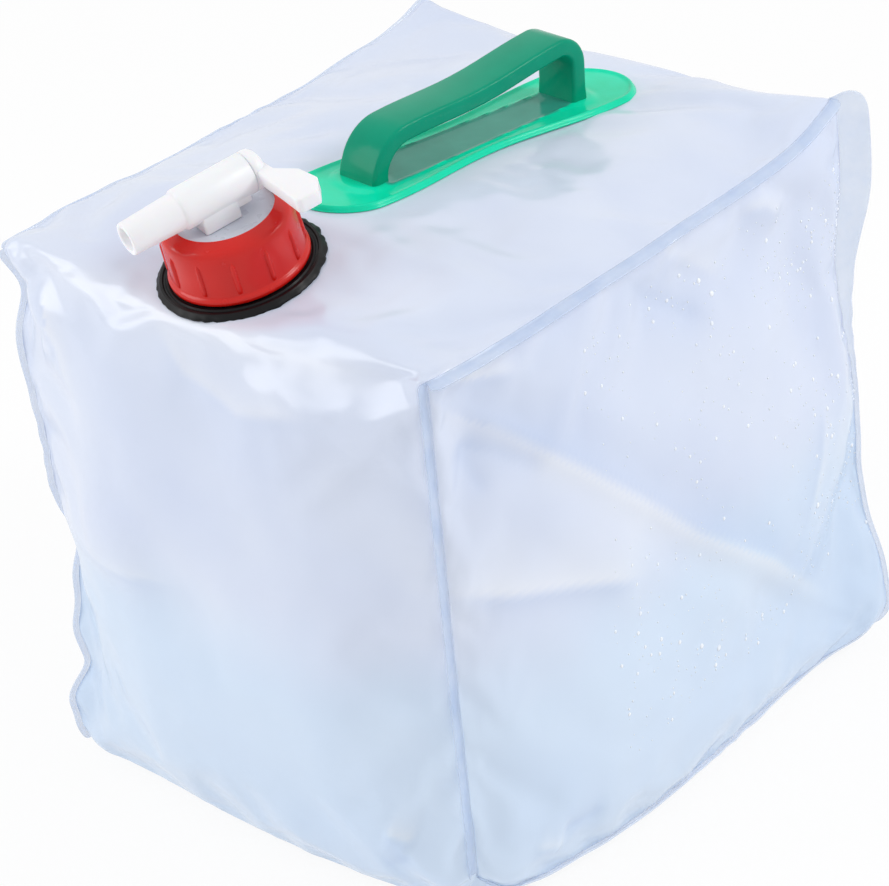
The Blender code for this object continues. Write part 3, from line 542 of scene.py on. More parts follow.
def settle_film(bm, cube):
    """Runs the cloth: welds, flange, handle plate and foot hold still, and the walls swell."""
    bmesh.ops.scale(bm, vec=(MM, MM, MM), verts=bm.verts)
    mesh = bpy.data.meshes.new("film_cloth")
    bm.to_mesh(mesh)
    cloth_piece = add_object("film_cloth", mesh)
    u, v, w = np.abs(cube).T
    top = cube[:, 2] > ON_EDGE
    start = np.array([vert.co[:] for vert in bm.verts])
    x, y, _ = (start / MM).T
    flange = np.linalg.norm(start - np.array(NECK_PLACE) * MM, axis=1) < FLANGE_HELD * MM
    plate = top & (np.abs(x) < PLATE_HELD_WIDE) & (y > PLATE_HELD_NEAR) & (y < PLATE_HELD_FAR)
    weld = (u > ON_EDGE) & ((v > ON_EDGE) | (w > ON_EDGE))
    held = weld | flange | plate | (cube[:, 2] < -ON_EDGE)
    group = cloth_piece.vertex_groups.new(name="held")
    group.add([int(i) for i in np.flatnonzero(held)], 1.0, "REPLACE")
    cloth = cloth_piece.modifiers.new("cloth", "CLOTH")
    settings = cloth.settings
    settings.quality = 5
    settings.mass = 0.3
    settings.tension_stiffness = 15
    settings.compression_stiffness = 15
    settings.shear_stiffness = 5
    settings.bending_stiffness = 0.4
    settings.vertex_group_mass = "held"
    settings.pin_stiffness = 1
    settings.shrink_min = -0.012
    settings.use_pressure = True
    settings.uniform_pressure_force = FILM_PRESSURE
    settings.effector_weights.gravity = 0
    cloth.collision_settings.use_collision = False
    cloth.point_cache.frame_start = 1
    cloth.point_cache.frame_end = CLOTH_FRAMES
    for number in range(1, CLOTH_FRAMES + 1):
        bpy.context.scene.frame_set(number)
    settled = cloth_piece.evaluated_get(bpy.context.evaluated_depsgraph_get())
    after = np.array([vert.co[:] for vert in settled.data.vertices])
    bpy.context.scene.frame_set(1)
    bpy.data.objects.remove(cloth_piece, do_unlink=True)
    step = after - start
    far = np.linalg.norm(step, axis=1, keepdims=True)
    step *= np.minimum(1, FILM_GIVE * MM / np.maximum(far, 1e-9))
    for vert, place in zip(bm.verts, (start + step) / MM):
        vert.co = place


AIR_CLOUD, WATER_CLOUD, LAP_CLOUD = 80.0, 110.0, 70.0
WATER_FROM, WATER_TO = 0.16, 0.10
LAP_HEIGHT = 0.05
# How far the painted highlight and the painted shade along the folds go towards their colours
PAINTED_FOLD_HIGHLIGHT, PAINTED_FOLD_SHADE = 0.65, -0.4


def film_material():
    """Soft clear PVC film, rolled smooth: milky, with a gloss that runs along its folds.

    It looks violet-grey where air lies behind it and bluer over the water. Along the folds it has a
    painted highlight and a painted shade, as their attribute says. Its roughness stays even.
    """
    material, tree, shader = new_material(
        "clear_pvc_film", "E6EDF9", 0.26, Specular_IOR_Level=0.5, Coat_Weight=0.25, Coat_Roughness=0.16
    )
    shader.inputs["Alpha"].default_value = 0.94
    place = add_node(tree, "TexCoord").outputs["Object"]
    height = add_node(tree, "SeparateXYZ", {0: place}).outputs["Z"]
    moved = add_node(tree, "Mapping", {"Vector": place, "Location": (9, 9, 9)})
    swirl = add_node(tree, "TexNoise", {"Vector": moved, "Scale": 1 / (LAP_CLOUD * MM), "Detail": 2})
    lap = add_node(tree, "Math", {0: swirl, 1: LAP_HEIGHT, 2: -LAP_HEIGHT / 2}, operation="MULTIPLY_ADD")
    level = add_node(tree, "Math", {0: height, 1: lap}, operation="ADD")
    rise = {"Value": level, "From Min": WATER_TO, "From Max": WATER_FROM}
    above_water = add_node(tree, "MapRange", rise, interpolation_type="SMOOTHSTEP")
    air = clouds(tree, AIR_CLOUD, "D2DDF6", "EAF1FF", detail=2)
    water = clouds(tree, WATER_CLOUD, "CDE1FB", "E2F0FF", detail=2, shift=4)
    body = add_node(tree, "Mix", {FACTOR: above_water, FIRST: water, SECOND: air}, data_type="RGBA")
    # Painted highlight along the folds mixes the film towards near white, painted shade towards a deeper
    # blue
    painted_fold_light = add_node(tree, "Attribute", attribute_name="painted_fold_light").outputs["Fac"]
    light = add_node(tree, "Math", {0: painted_fold_light, 1: PAINTED_FOLD_HIGHLIGHT}, operation="MULTIPLY", use_clamp=True)
    lit = add_node(tree, "Mix", {FACTOR: light, FIRST: body, SECOND: "FAFCFF"}, data_type="RGBA")
    deep = add_node(tree, "Math", {0: painted_fold_light, 1: PAINTED_FOLD_SHADE}, operation="MULTIPLY", use_clamp=True)
    shaded = add_node(tree, "Mix", {FACTOR: deep, FIRST: lit, SECOND: "A9C2EC"}, data_type="RGBA")
    feed(tree, shader.inputs["Base Color"], shaded)
    return material


CLEAR_FILM = film_material()
NECK_HOLE = 24.0


def film_sheet(name, source, panels):
    """One sheet of the film: its own panels of the settled mesh, made finer, then creased."""
    bm = source.copy()
    layer = bm.faces.layers.int["panel"]
    others = [face for face in bm.faces if face[layer] not in panels]
    bmesh.ops.delete(bm, geom=others, context="FACES")
    mesh = bpy.data.meshes.new(name)
    bm.to_mesh(mesh)
    bm.free()
    rough_piece = add_object(name, mesh)
    finer = rough_piece.modifiers.new("finer", "SUBSURF")
    finer.levels = finer.render_levels = 1
    finer.boundary_smooth = "PRESERVE_CORNERS"
    evaluated = rough_piece.evaluated_get(bpy.context.evaluated_depsgraph_get())
    bm = bmesh.new()
    bm.from_mesh(evaluated.data)
    bpy.data.objects.remove(rough_piece, do_unlink=True)
    plain = np.array([vert.co[:] for vert in bm.verts])
    # Each point keeps the painted highlight and painted shade of the folds near it
    painted_fold_layer = bm.verts.layers.float.new("painted_fold_light")
    for vert, place, painted_tone in zip(bm.verts, wear_film(plain), painted_fold_tone(plain)):
        vert.co = place
        vert[painted_fold_layer] = painted_tone
    neck = Vector(NECK_PLACE)
    under_cap = [face for face in bm.faces if (face.calc_center_median() - neck).length < NECK_HOLE]
    bmesh.ops.delete(bm, geom=under_cap, context="FACES")
    return finish_piece(name, bm, CLEAR_FILM, smooth_angle=60)


def follow_film(piece):
    """Bakes a piece's place into its mesh, so that it stays where it is."""
    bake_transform(piece)


def make_film():
    """The strip and the two side panels, cut from one settled mesh so that their edges meet."""
    bm, cube = film_mesh()
    settle_film(bm, cube)
    wrap = film_sheet("film_wrap", bm, (0, 1, 2, 3))
    right = film_sheet("film_right", bm, (4,))
    left = film_sheet("film_left", bm, (5,))
    bm.free()
    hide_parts("bottom_panel", "front_panel", "top_panel", "back_panel")
    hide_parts("right_gusset")
    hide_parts("left_gusset")
    for piece in (wrap, right, left):
        follow_film(piece)
    return wrap, right, left


wrap, right_sheet, left_sheet = make_film()


# Welds. Each side panel is welded to the strip all round: two film edges pressed into a clear
# ribbon with a bead along both sides. The ribbon widens to a rounded ear at the back right corner.


def only_verts(geometry):
    """The vertices among what an operator gives back."""
    return [item for item in geometry if isinstance(item, bmesh.types.BMVert)]


def sweep(bm, stations, profile):
    """Extrudes a closed profile from station to station: an origin and the profile's two axes."""
    shape = bm.verts.layers.float_vector.new("shape")
    ring = [bm.verts.new() for _ in profile]
    for vert, (p, q) in zip(ring, profile):
        vert[shape] = (p, q, 0)
    edges = [bm.edges.new(pair) for pair in zip(ring, ring[1:] + ring[:1])]
    bmesh.ops.edgeloop_fill(bm, edges=edges)
    for number, (origin, across, through) in enumerate(stations):
        if number > 0:
            raised = bmesh.ops.extrude_edge_only(bm, edges=edges)["geom"]
            ring = only_verts(raised)
            rim = set(ring)
            edges = [e for e in raised if isinstance(e, bmesh.types.BMEdge) and rim.issuperset(e.verts)]
        for vert in ring:
            p, q, _ = vert[shape]
            vert.co = origin + across * p + through * q
    bmesh.ops.edgeloop_fill(bm, edges=edges)
    bm.verts.layers.float_vector.remove(shape)


WELD_CLOUD, WELD_GRAIN, WELD_DEPTH = 12.0, 5.0, 0.15


def skin(tree, size, depth, strength, shift=0):
    """A fine uneven surface, its grain and depth in millimetres, that bends the light on it."""
    place = add_node(tree, "TexCoord").outputs["Object"]
    moved = add_node(tree, "Mapping", {"Vector": place, "Location": (shift, shift, shift)})
    grain = add_node(tree, "TexNoise", {"Vector": moved, "Scale": 1 / (size * MM), "Detail": 2})
    return add_node(tree, "Bump", {"Height": grain, "Distance": depth * MM, "Strength": strength})


def weld_material():
    """Two layers of the PVC film pressed together by a hot bar: clearer, brighter and deeper blue.

    The bar's knurl is finer than this on the real weld; it is drawn coarser so that it shows.
    """
    material, tree, shader = new_material(
        "welded_pvc_film", "DDE8F8", 0.12, Coat_Weight=0.4, Coat_Roughness=0.05
    )
    shader.inputs["Alpha"].default_value = 0.4
    feed(tree, shader.inputs["Base Color"], clouds(tree, WELD_CLOUD, "BFD5F6", "E6F0FF"))
    feed(tree, shader.inputs["Normal"], skin(tree, WELD_GRAIN, WELD_DEPTH, 0.4))
    return material


WELDED_FILM = weld_material()
WELD_STEPS = 120
WELD_LENGTH, WELD_CORNER, WELD_TIP = 250.0, 12.0, 0.15
WELD_WAVE = 0.2
PLAIN_WELD, SLIM_WELD, WIDE_WELD = 4.2, 3.0, 6.0
EAR_NARROW, EAR_WIDE = 2.2, 14.0
EAR_DROP, EAR_ROUND = 2.0, 18.0
# The ribbon across: share of its width outward, and half thickness
RIBBON_TOP = [(0, 0.4), (0.08, 0.7), (0.2, 0.25), (0.82, 0.2), (0.92, 0.45), (1.0, 0.25)]
RIBBON = RIBBON_TOP + [(share, -thick) for share, thick in reversed(RIBBON_TOP)]


def weld_line(cube_point):
    """The weld's line on the finished film, as points in millimetres."""
    steps = [crowd(i / WELD_STEPS * 2 - 1) for i in range(WELD_STEPS + 1)]
    cube = np.array([cube_point(t) for t in steps], float)
    return [Vector(p) for p in wear_film(filled_form(*cube.T))]


def make_weld(name, cube_point, outward, width_at, node, body):
    """One weld along a line of the cube, its ends rounded off and its flat faintly wavy."""
    line = weld_line(cube_point)
    out = Vector(outward).normalized()
    bm = bmesh.new()
    stations = []
    last = len(line) - 1
    for i, point in enumerate(line):
        along = (line[min(last, i + 1)] - line[max(0, i - 1)]).normalized()
        across = (out - along * out.dot(along)).normalized()
        through = along.cross(across)
        t = i / last
        corner = min(1, min(t, 1 - t) * WELD_LENGTH / WELD_CORNER)
        trim = WELD_TIP + (1 - WELD_TIP) * math.sqrt(1 - (1 - corner) ** 2)
        wave = noise.noise(Vector((i * 0.2, width_at(t), 0))) * WELD_WAVE
        stations.append((point + through * wave, across * width_at(t) * trim, through))
    sweep(bm, stations, RIBBON)
    piece = finish_piece(name, bm, WELDED_FILM, smooth_angle=70)
    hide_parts(node)
    if body == "walls":
        follow_film(piece)
    else:
        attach(piece, body)


def even(width):
    """A weld of the same width all along."""
    return lambda t: width


def ear(t):
    """Narrow along the wall, wide and rounded at the top corner."""
    wide = EAR_NARROW + (EAR_WIDE - EAR_NARROW) * float(smoothstep((t - 0.5) / 0.3))
    below_top = min(1, max(0, (1 - t) * 2 * BAG_HALF[2] - EAR_DROP) / EAR_ROUND)
    return wide * math.sqrt(1 - (1 - below_top) ** 2) + 0.2


# Each weld: its name, where it runs on the cube, which way it stands, its width, the solid whose
# place it takes, and what it follows
WELDS = [
    ("weld_left_top", lambda t: (-1, t, 1), (-0.95, 0, -0.3), even(SLIM_WELD), "left_top_weld", "top"),
    ("weld_left_bottom", lambda t: (-1, t, -1), (-1, 0, 0.2), even(SLIM_WELD), "left_bottom_weld", "bag"),
    ("weld_right_top", lambda t: (1, t, 1), (0.95, 0, -0.3), even(WIDE_WELD), "right_top_weld", "top"),
    ("weld_right_bottom", lambda t: (1, t, -1), (1, 0, 0.2), even(SLIM_WELD), "right_bottom_weld", "bag"),
    ("weld_right_front", lambda t: (1, -1, t), (-0.3, -1, 0), even(PLAIN_WELD), "right_front_weld", "walls"),
    ("weld_left_front", lambda t: (-1, -1, t), (-0.5, -1, 0), even(SLIM_WELD), "left_front_weld", "walls"),
    ("weld_right_back", lambda t: (1, 1, t), (1, 1, 0), ear, "right_back_weld", "walls"),
    ("weld_left_back", lambda t: (-1, 1, t), (-1, 1, 0), even(PLAIN_WELD), "left_back_weld", "walls"),
]
for weld in WELDS:
    make_weld(*weld)


# Neck. A black polyethylene ring welded on the film: a flange with turned rings and a ragged rim,
# and a threaded neck that the collar screws onto.

NECK = Matrix.Translation(NECK_PLACE) @ Matrix.Rotation(NECK_TILT, 4, "X")
TURN_STEPS = 128


def turned(bm, profile, closed=False):
    """Spins points of (radius, height) about Z; an open profile starts and ends on the axis."""
    verts = [bm.verts.new((radius, 0, height)) for radius, height in profile]
    pairs = list(zip(verts, verts[1:])) + ([(verts[-1], verts[0])] if closed else [])
    edges = [bm.edges.new(pair) for pair in pairs]
    bmesh.ops.spin(
        bm,
        geom=verts + edges,
        cent=(0, 0, 0),
        axis=(0, 0, 1),
        angle=math.tau,
        steps=TURN_STEPS,
        use_merge=True,
    )
    bmesh.ops.remove_doubles(bm, verts=bm.verts, dist=0.001)


CLOUD_SIZE, FLOW_SIZE = 14.0, 6.0
DULL, GLOSSY = 1.25, 0.8
PEEL_DEPTH = 0.04


def plastic(name, low, high, roughness, grain_mm, **constants):
    """Moulded plastic: clouds of two near shades, flow marks in the gloss, and fine orange peel.

    The peel of a real moulding is finer than the grain given here, which is as fine as shows.
    """
    material, tree, shader = new_material(name, low, roughness, **constants)
    feed(tree, shader.inputs["Base Color"], clouds(tree, CLOUD_SIZE, low, high))
    place = add_node(tree, "TexCoord").outputs["Object"]
    moved = add_node(tree, "Mapping", {"Vector": place, "Location": (2, 2, 2)})
    flow = add_node(tree, "TexNoise", {"Vector": moved, "Scale": 1 / (FLOW_SIZE * MM), "Detail": 4})
    span = {"From Min": 0.3, "From Max": 0.7, "To Min": roughness * GLOSSY, "To Max": roughness * DULL}
    gloss = add_node(tree, "MapRange", {"Value": flow, **span}, interpolation_type="SMOOTHSTEP")
    feed(tree, shader.inputs["Roughness"], gloss)
    feed(tree, shader.inputs["Normal"], skin(tree, grain_mm, PEEL_DEPTH, 0.4, shift=4))
    return material


# Moulded polyethylene, black all through: satin, with one soft light line on each turned ring
BLACK = plastic("black_polyethylene", "08080A", "0F0F12", 0.4, 1.2, Specular_IOR_Level=0.2)
THREAD_PITCH = 6.0
THREAD_ROOT = 0.4
THREAD_RUN_OUT = 10


def helix_ridge(bm, radius, depth, start, turns):
    """A screw thread's ridge, right handed; a depth below 0 points inward."""
    count = int(TURN_STEPS * turns)
    embed = math.copysign(THREAD_ROOT, depth)
    profile = [(-embed, -1.1), (depth, -0.6), (depth, 0.6), (-embed, 1.1)]
    stations = []
    for i in range(count + 1):
        angle = i / TURN_STEPS * math.tau
        fade = min(1, min(i, count - i) / THREAD_RUN_OUT + 0.05)
        out = Vector((math.cos(angle), math.sin(angle), 0))
        place = out * radius + Vector((0, 0, start + THREAD_PITCH * i / TURN_STEPS))
        stations.append((place, out * fade, Vector((0, 0, 1))))
    sweep(bm, stations, profile)


NECK_WALL = [(21.5, 22.0), (22.0, 22.5), (23.6, 22.5), (24.2, 21.9), (24.2, 3.6), (24.8, 2.9)]
FLANGE_RINGS = [(29.0, 2.9), (30.0, 2.6), (30.6, 3.1), (31.4, 3.1), (31.9, 2.4), (32.6, 2.4), (33.1, 3.0)]
FLANGE_RIM = [(34.2, 3.0), (34.7, 2.3), (35.4, 1.9), (36.0, 1.0), (35.9, 0.3), (21.5, 0.3)]
RAGGED_FROM = 35.2


def make_neck():
    """Turns the ring, makes the rim ragged, and adds the outer thread."""
    bm = bmesh.new()
    turned(bm, NECK_WALL + FLANGE_RINGS + FLANGE_RIM, closed=True)
    for vert in bm.verts:
        radius = math.hypot(vert.co.x, vert.co.y)
        if radius > RAGGED_FROM:
            angle = math.atan2(vert.co.y, vert.co.x)
            rag = noise.noise(Vector((math.cos(angle) * 9, math.sin(angle) * 9, 3)))
            fine = noise.noise(Vector((math.cos(angle) * 34, math.sin(angle) * 34, 9)))
            share = 1 + (rag * 0.5 + fine * 0.9) / radius
            vert.co.x *= share
            vert.co.y *= share
    helix_ridge(bm, radius=24.2, depth=1.3, start=8.0, turns=1.75)
    ring = finish_piece("neck_ring", bm, BLACK, NECK)
    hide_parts("neck_fitment")
    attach(ring, "top")


make_neck()


# Washer. A flat rubber ring, punched from sheet, between the neck's rim and the tap's disc. Its
# form is the part's own and only its finish is set: it is seen when the tap is off.

# Moulded rubber: matt and almost black
RUBBER = plastic("black_rubber", "1A1A1C", "242427", 0.6, 0.8)
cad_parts["seal_washer"].data.materials.clear()
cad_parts["seal_washer"].data.materials.append(RUBBER)


# Collar. The red polyethylene screw ring that holds the tap on the neck, moulded in one: a foot
# bead, twelve ribs, a rounded shoulder and a sloping top, with a thread inside.

# Moulded polyethylene in a polished mould: a deep red whose shine is crisp but not hard
RED = plastic("red_polyethylene", "CC140D", "DA1E14", 0.22, 1.5, Specular_IOR_Level=0.3, Coat_Weight=0.12)
COLLAR_FOOT = [(26.2, 3.3), (29.6, 3.3), (30.1, 3.8), (30.2, 4.8), (30.0, 5.7), (29.3, 6.4), (28.9, 6.7)]
COLLAR_SIDE = [(28.7, 7.2), (28.5, 14.0), (28.3, 23.0), (28.1, 25.0), (27.8, 26.2), (27.2, 27.2)]
COLLAR_TOP = [(26.4, 27.8), (25.6, 28.3), (23.5, 29.0), (21.9, 29.7), (21.5, 29.8), (21.3, 29.5)]
COLLAR_INSIDE = [(21.3, 27.8), (26.2, 27.8)]
RIB_COUNT = 12
RIB_STEPS = 12
RIB_FOOT, RIB_RISE = 7.6, 15.0
RIB_STAND, RIB_ROOT = 0.95, 0.4
RIB_OUTLINE = [(0, -1.2), (0.5, -1.0), (0.9, -0.55), (1, 0), (0.9, 0.55), (0.5, 1.0), (0, 1.2)]


def make_ribs():
    """Upright finger ribs that stand out of the collar's wall and run out at both ends."""
    bm = bmesh.new()
    for index in range(RIB_COUNT):
        stations = []
        turn = (index + 0.5) * math.tau / RIB_COUNT
        out = Vector((math.cos(turn), math.sin(turn), 0))
        across = Vector((-math.sin(turn), math.cos(turn), 0))
        for i in range(RIB_STEPS + 1):
            t = i / RIB_STEPS
            height = RIB_FOOT + RIB_RISE * t
            stand = RIB_STAND * min(1, (1 - t) * 6 + 0.05) * min(1, t * 10 + 0.3)
            width = min(1, (1 - t) * 5 + 0.3)
            radius = 28.7 - 0.4 * t - RIB_ROOT
            place = out * radius + Vector((0, 0, height))
            stations.append((place, out * (RIB_ROOT + stand), across * width))
        sweep(bm, stations, RIB_OUTLINE)
    return finish_piece("collar_ribs", bm, RED, NECK, smooth_angle=60)


def make_collar():
    """The turned shell with its inner thread, and the ribs on it."""
    bm = bmesh.new()
    turned(bm, COLLAR_FOOT + COLLAR_SIDE + COLLAR_TOP + COLLAR_INSIDE, closed=True)
    helix_ridge(bm, radius=26.2, depth=-1.3, start=11.0, turns=1.25)
    shell = finish_piece("collar_shell", bm, RED, NECK, smooth_angle=50)
    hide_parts("screw_collar")
    for piece in (shell, make_ribs()):
        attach(piece, "collar")


make_collar()


# Tap body. White polyethylene: a disc held under the collar, a stepped pedestal, and a barrel that
# runs on as a tapered spout.

# Moulded natural polyethylene: light goes a little way in, which softens its shadows
WHITE = plastic(
    "white_polyethylene", "F6F6FA", "FBFBFE", 0.38, 1.4, Subsurface_Weight=0.15, Subsurface_Scale=0.004
)
# The same plastic where it is thin: greyer and a little blue, as the dark neck shows through
FROSTED = plastic("frosted_polyethylene", "D3DAE6", "DEE4EE", 0.3, 1.2)
TAP = NECK @ Matrix.Rotation(math.radians(-17), 4, "Z")
BARREL = TAP @ Matrix.Translation((0, 0, 40)) @ Matrix.Rotation(math.radians(90), 4, "X")
TAP_EDGE = 0.9
BARREL_WALL = [(7.0, -14.5), (8.6, -14.5), (8.9, -14.1), (9.0, 17.0), (8.9, 17.9), (8.5, 18.5), (8.1, 18.8)]
SPOUT = [(8.0, 19.5), (7.6, 31), (7.2, 42.3), (7.0, 42.8), (6.6, 43), (5.4, 43), (5.0, 42.6)]
BORE = [(5.0, 14.5), (7.0, 14.5)]
DISC_RIM = [(0, 25.1), (25.0, 25.1), (25.5, 25.6), (25.5, 27.0), (25.0, 27.5)]
DISC_TOP = [(14, 27.3), (13.4, 27.0), (0, 27.0)]


def block(bm, low, high, bevel):
    """A box between two corners with all its edges rounded."""
    made = bmesh.ops.create_cube(bm, size=1)["verts"]
    size = [b - a for a, b in zip(low, high)]
    bmesh.ops.scale(bm, vec=size, verts=made)
    bmesh.ops.translate(bm, vec=[(a + b) / 2 for a, b in zip(low, high)], verts=made)
    edges = list({edge for vert in made for edge in vert.link_edges})
    bmesh.ops.bevel(
        bm, geom=edges, offset=bevel, segments=3, profile=0.5, affect="EDGES", material=-1
    )


def make_tap_body():
    """The barrel with its spout, the pedestal's two steps, and the disc under the collar."""
    bm = bmesh.new()
    turned(bm, BARREL_WALL + SPOUT + BORE, closed=True)
    body = finish_piece("tap_barrel", bm, WHITE, BARREL, smooth_angle=50)
    bm = bmesh.new()
    block(bm, (-7.6, -12.6, 27.1), (7.6, 4.5, 38.0), TAP_EDGE)
    block(bm, (-6.8, -12.0, 31.0), (6.8, 11.0, 37.0), TAP_EDGE)
    pedestal = finish_piece("tap_pedestal", bm, WHITE, TAP, smooth_angle=50)
    bm = bmesh.new()
    turned(bm, DISC_RIM + DISC_TOP)
    disc = finish_piece("tap_disc", bm, FROSTED, TAP)
    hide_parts("tap_body")
    for piece in (body, pedestal, disc):
        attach(piece, "tap")


make_tap_body()


# Plug and lever. One white moulding: the plug that turns in the barrel, its domed head behind the
# barrel, and the swept paddle on its right side.

PLUG_DOME = [(0, -21.8), (3.0, -21.6), (5.6, -21.0), (7.4, -19.9), (8.5, -18.6), (8.9, -17.0)]
PLUG_SHOULDER = [(8.9, -15.1), (8.6, -14.8), (6.7, -14.8)]
PLUG_CORE = [(6.7, 13.8), (6.3, 14.2), (4.7, 14.2), (4.7, -8.0), (0, -8.0)]
LEVER_LOW, LEVER_THICK = 36.6, 6.8
LEVER_ARM = [(0, 15.5), (11.0, 15.5), (24.0, 15.8), (38.5, 15.6), (40.0, 17.2)]
LEVER_TIP = [(40.0, 25.6), (31.5, 30.4), (20.0, 28.6), (11.0, 21.8), (0, 21.1)]


def make_plug():
    """The plug, and the lever's outline raised to its thickness with all its edges rounded."""
    bm = bmesh.new()
    turned(bm, PLUG_DOME + PLUG_SHOULDER + PLUG_CORE)
    plug = finish_piece("tap_plug_head", bm, WHITE, BARREL, smooth_angle=50)
    bm = bmesh.new()
    low = bm.faces.new([bm.verts.new((x, y, LEVER_LOW)) for x, y in LEVER_ARM + LEVER_TIP])
    raised = bmesh.ops.extrude_face_region(bm, geom=[low])["geom"]
    bmesh.ops.translate(bm, vec=(0, 0, LEVER_THICK), verts=only_verts(raised))
    bmesh.ops.bevel(
        bm, geom=bm.edges[:], offset=TAP_EDGE, segments=3, profile=0.5, affect="EDGES", material=-1
    )
    lever = finish_piece("tap_lever_paddle", bm, WHITE, TAP, smooth_angle=50)
    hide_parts("tap_plug")
    for piece in (plug, lever):
        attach(piece, "plug")


make_plug()


# Handle plate. Mint PVC welded flat on the film: waisted, with a bead round its rim and a fine raised
# line between the feet. Under the grip it is greyer: painted shade and reflection of the grip.

HANDLE_TURN = math.radians(-6)
HANDLE = (
    Matrix.Translation((2.0, 27.424, 277.291))
    @ Matrix.Rotation(-RIDGE_FALL, 4, "X")
    @ Matrix.Rotation(HANDLE_TURN, 4, "Z")
)
PLATE_HALF, PLATE_END = 95.0, 22.0
PLATE_WAIST, PLATE_LOBE, LOBE_END = 38.0, 12.0, 29.0
PLATE_BASE, PLATE_TOP = 0.3, 1.8
BEAD_PLACE, BEAD_WIDE, BEAD_HEIGHT = 2.0, 1.1, 1.0
RIM_WIDE, RIM_FALL = 0.7, 1.2
UNDER_GRIP_HALF_WIDTH, UNDER_GRIP_HALF_LENGTH, UNDER_GRIP_LINE = 12.0, 58.0, 0.8
GRIP_AHEAD = 1.5
FOOT_REACH, FOOT_WIDE, FOOT_LONG = 62.0, 15.5, 10.5
PLATE_ROWS, PLATE_COLUMNS = 150, 48


def plate_half_width(y):
    """Half the plate's width along it: waisted in the middle, wider at both lobes."""
    lobe = 0.5 - 0.5 * math.cos(math.pi * y / (PLATE_HALF - LOBE_END))
    return (PLATE_WAIST + PLATE_LOBE * lobe) / 2


def plate_height(x, y):
    """The plate's top at a point, and whether it lies under the grip, in the painted shade."""
    wide = plate_half_width(y)
    past = max(0, abs(y) - (PLATE_HALF - PLATE_END)) / PLATE_END
    inside = (1 - math.hypot(x / wide, past)) * wide
    bead = BEAD_HEIGHT * math.exp(-(((inside - BEAD_PLACE) / BEAD_WIDE) ** 2))
    height = PLATE_TOP + bead - RIM_FALL * math.exp(-((inside / RIM_WIDE) ** 2))
    under_grip = max(abs(x) - UNDER_GRIP_HALF_WIDTH + y / 30, abs(y + GRIP_AHEAD) - UNDER_GRIP_HALF_LENGTH)
    height += UNDER_GRIP_LINE * math.exp(-((under_grip / RIM_WIDE) ** 2))
    for foot in (-FOOT_REACH, FOOT_REACH):
        oval = math.hypot(x / FOOT_WIDE, (y + GRIP_AHEAD - foot) / FOOT_LONG)
        height += 1.0 * float(smoothstep((1 - oval) * 4)) + 0.5 * math.exp(-(((oval - 0.93) * 9) ** 2))
    return height, under_grip < 0


MINT_CLOUD, GRIP_SHADE_CLOUD = 10.0, 18.0
MINT_GRAIN, MINT_DEPTH = 2.0, 0.08


def mint_material():
    """Soft PVC, pressed glossy: a clear, bright mint, greyer under the grip as painted shade.

    Its orange peel is drawn coarser than the real one so that it shows.
    """
    material, tree, shader = new_material(
        "mint_pvc_plate", "16D8A0", 0.2, Specular_IOR_Level=0.15, Coat_Weight=0.08, Coat_Roughness=0.05
    )
    shader.inputs["Alpha"].default_value = 0.92
    mint = clouds(tree, MINT_CLOUD, "00E0A8", "14F2C6")
    # Painted shade and painted reflection of the grip on the plate under it, greyer than the mint
    painted_grip_shade = clouds(tree, GRIP_SHADE_CLOUD, "2C9684", "4AB09E")
    grip_shade_share = add_node(tree, "Attribute", attribute_name="under_grip").outputs["Fac"]
    shade = add_node(tree, "Mix", {FACTOR: grip_shade_share, FIRST: mint, SECOND: painted_grip_shade}, data_type="RGBA")
    feed(tree, shader.inputs["Base Color"], shade)
    feed(tree, shader.inputs["Normal"], skin(tree, MINT_GRAIN, MINT_DEPTH, 0.5, shift=4))
    return material


def make_plate():
    """A grid drawn out to the plate's outline, then raised to its height at each point."""
    bm = bmesh.new()
    # Marks the points under the grip that take the painted shade
    grip_shade_marks = bm.verts.layers.float.new("under_grip")
    bmesh.ops.create_grid(bm, x_segments=PLATE_COLUMNS, y_segments=PLATE_ROWS, size=1)
    for vert in bm.verts:
        y = PLATE_HALF * math.sin(vert.co.y * math.pi / 2)
        past = max(0, abs(y) - (PLATE_HALF - PLATE_END)) / PLATE_END
        wide = plate_half_width(y) * math.sqrt(max(0, 1 - past**2))
        vert.co = (wide * math.sin(vert.co.x * math.pi / 2), y, PLATE_BASE)
    raised = bmesh.ops.extrude_face_region(bm, geom=bm.faces[:])["geom"]
    for vert in only_verts(raised):
        vert.co.z, in_grip_shade = plate_height(vert.co.x, vert.co.y)
        vert[grip_shade_marks] = 1.0 if in_grip_shade else 0.0
    bmesh.ops.remove_doubles(bm, verts=bm.verts, dist=0.01)
    plate = finish_piece("plate_sheet", bm, mint_material(), HANDLE, smooth_angle=50)
    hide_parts("handle_plate")
    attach(plate, "top")


make_plate()


# Grip. A darker green PVC strap with rounded edges, arched between its two feet. The near bend is
# wide and the far one is tight.

# Soft PVC moulded glossy: a darker green than the plate, with broad light bands on its edges
GRIP_GREEN = plastic(
    "green_pvc_grip", "009070", "069E7C", 0.2, 1.6, Specular_IOR_Level=0.1, Coat_Weight=0.04
)
GRIP_HALF_WIDTH, GRIP_THICKNESS = 11.5, 8.0
GRIP_EDGE, EDGE_STEPS = 1.8, 4
NEAR_TOP, FAR_TOP = 24.8, 34.0
NEAR_BEND, FAR_BEND, BEND_STEPS = 22.4, 14.0, 16
GRIP_SAG, SAG_STEPS = 2.2, 12
GRIP_END, GRIP_FOOT = 64.0, 2.2
GRIP_FLARE, FLARE_HEIGHT = 0.25, 9.0


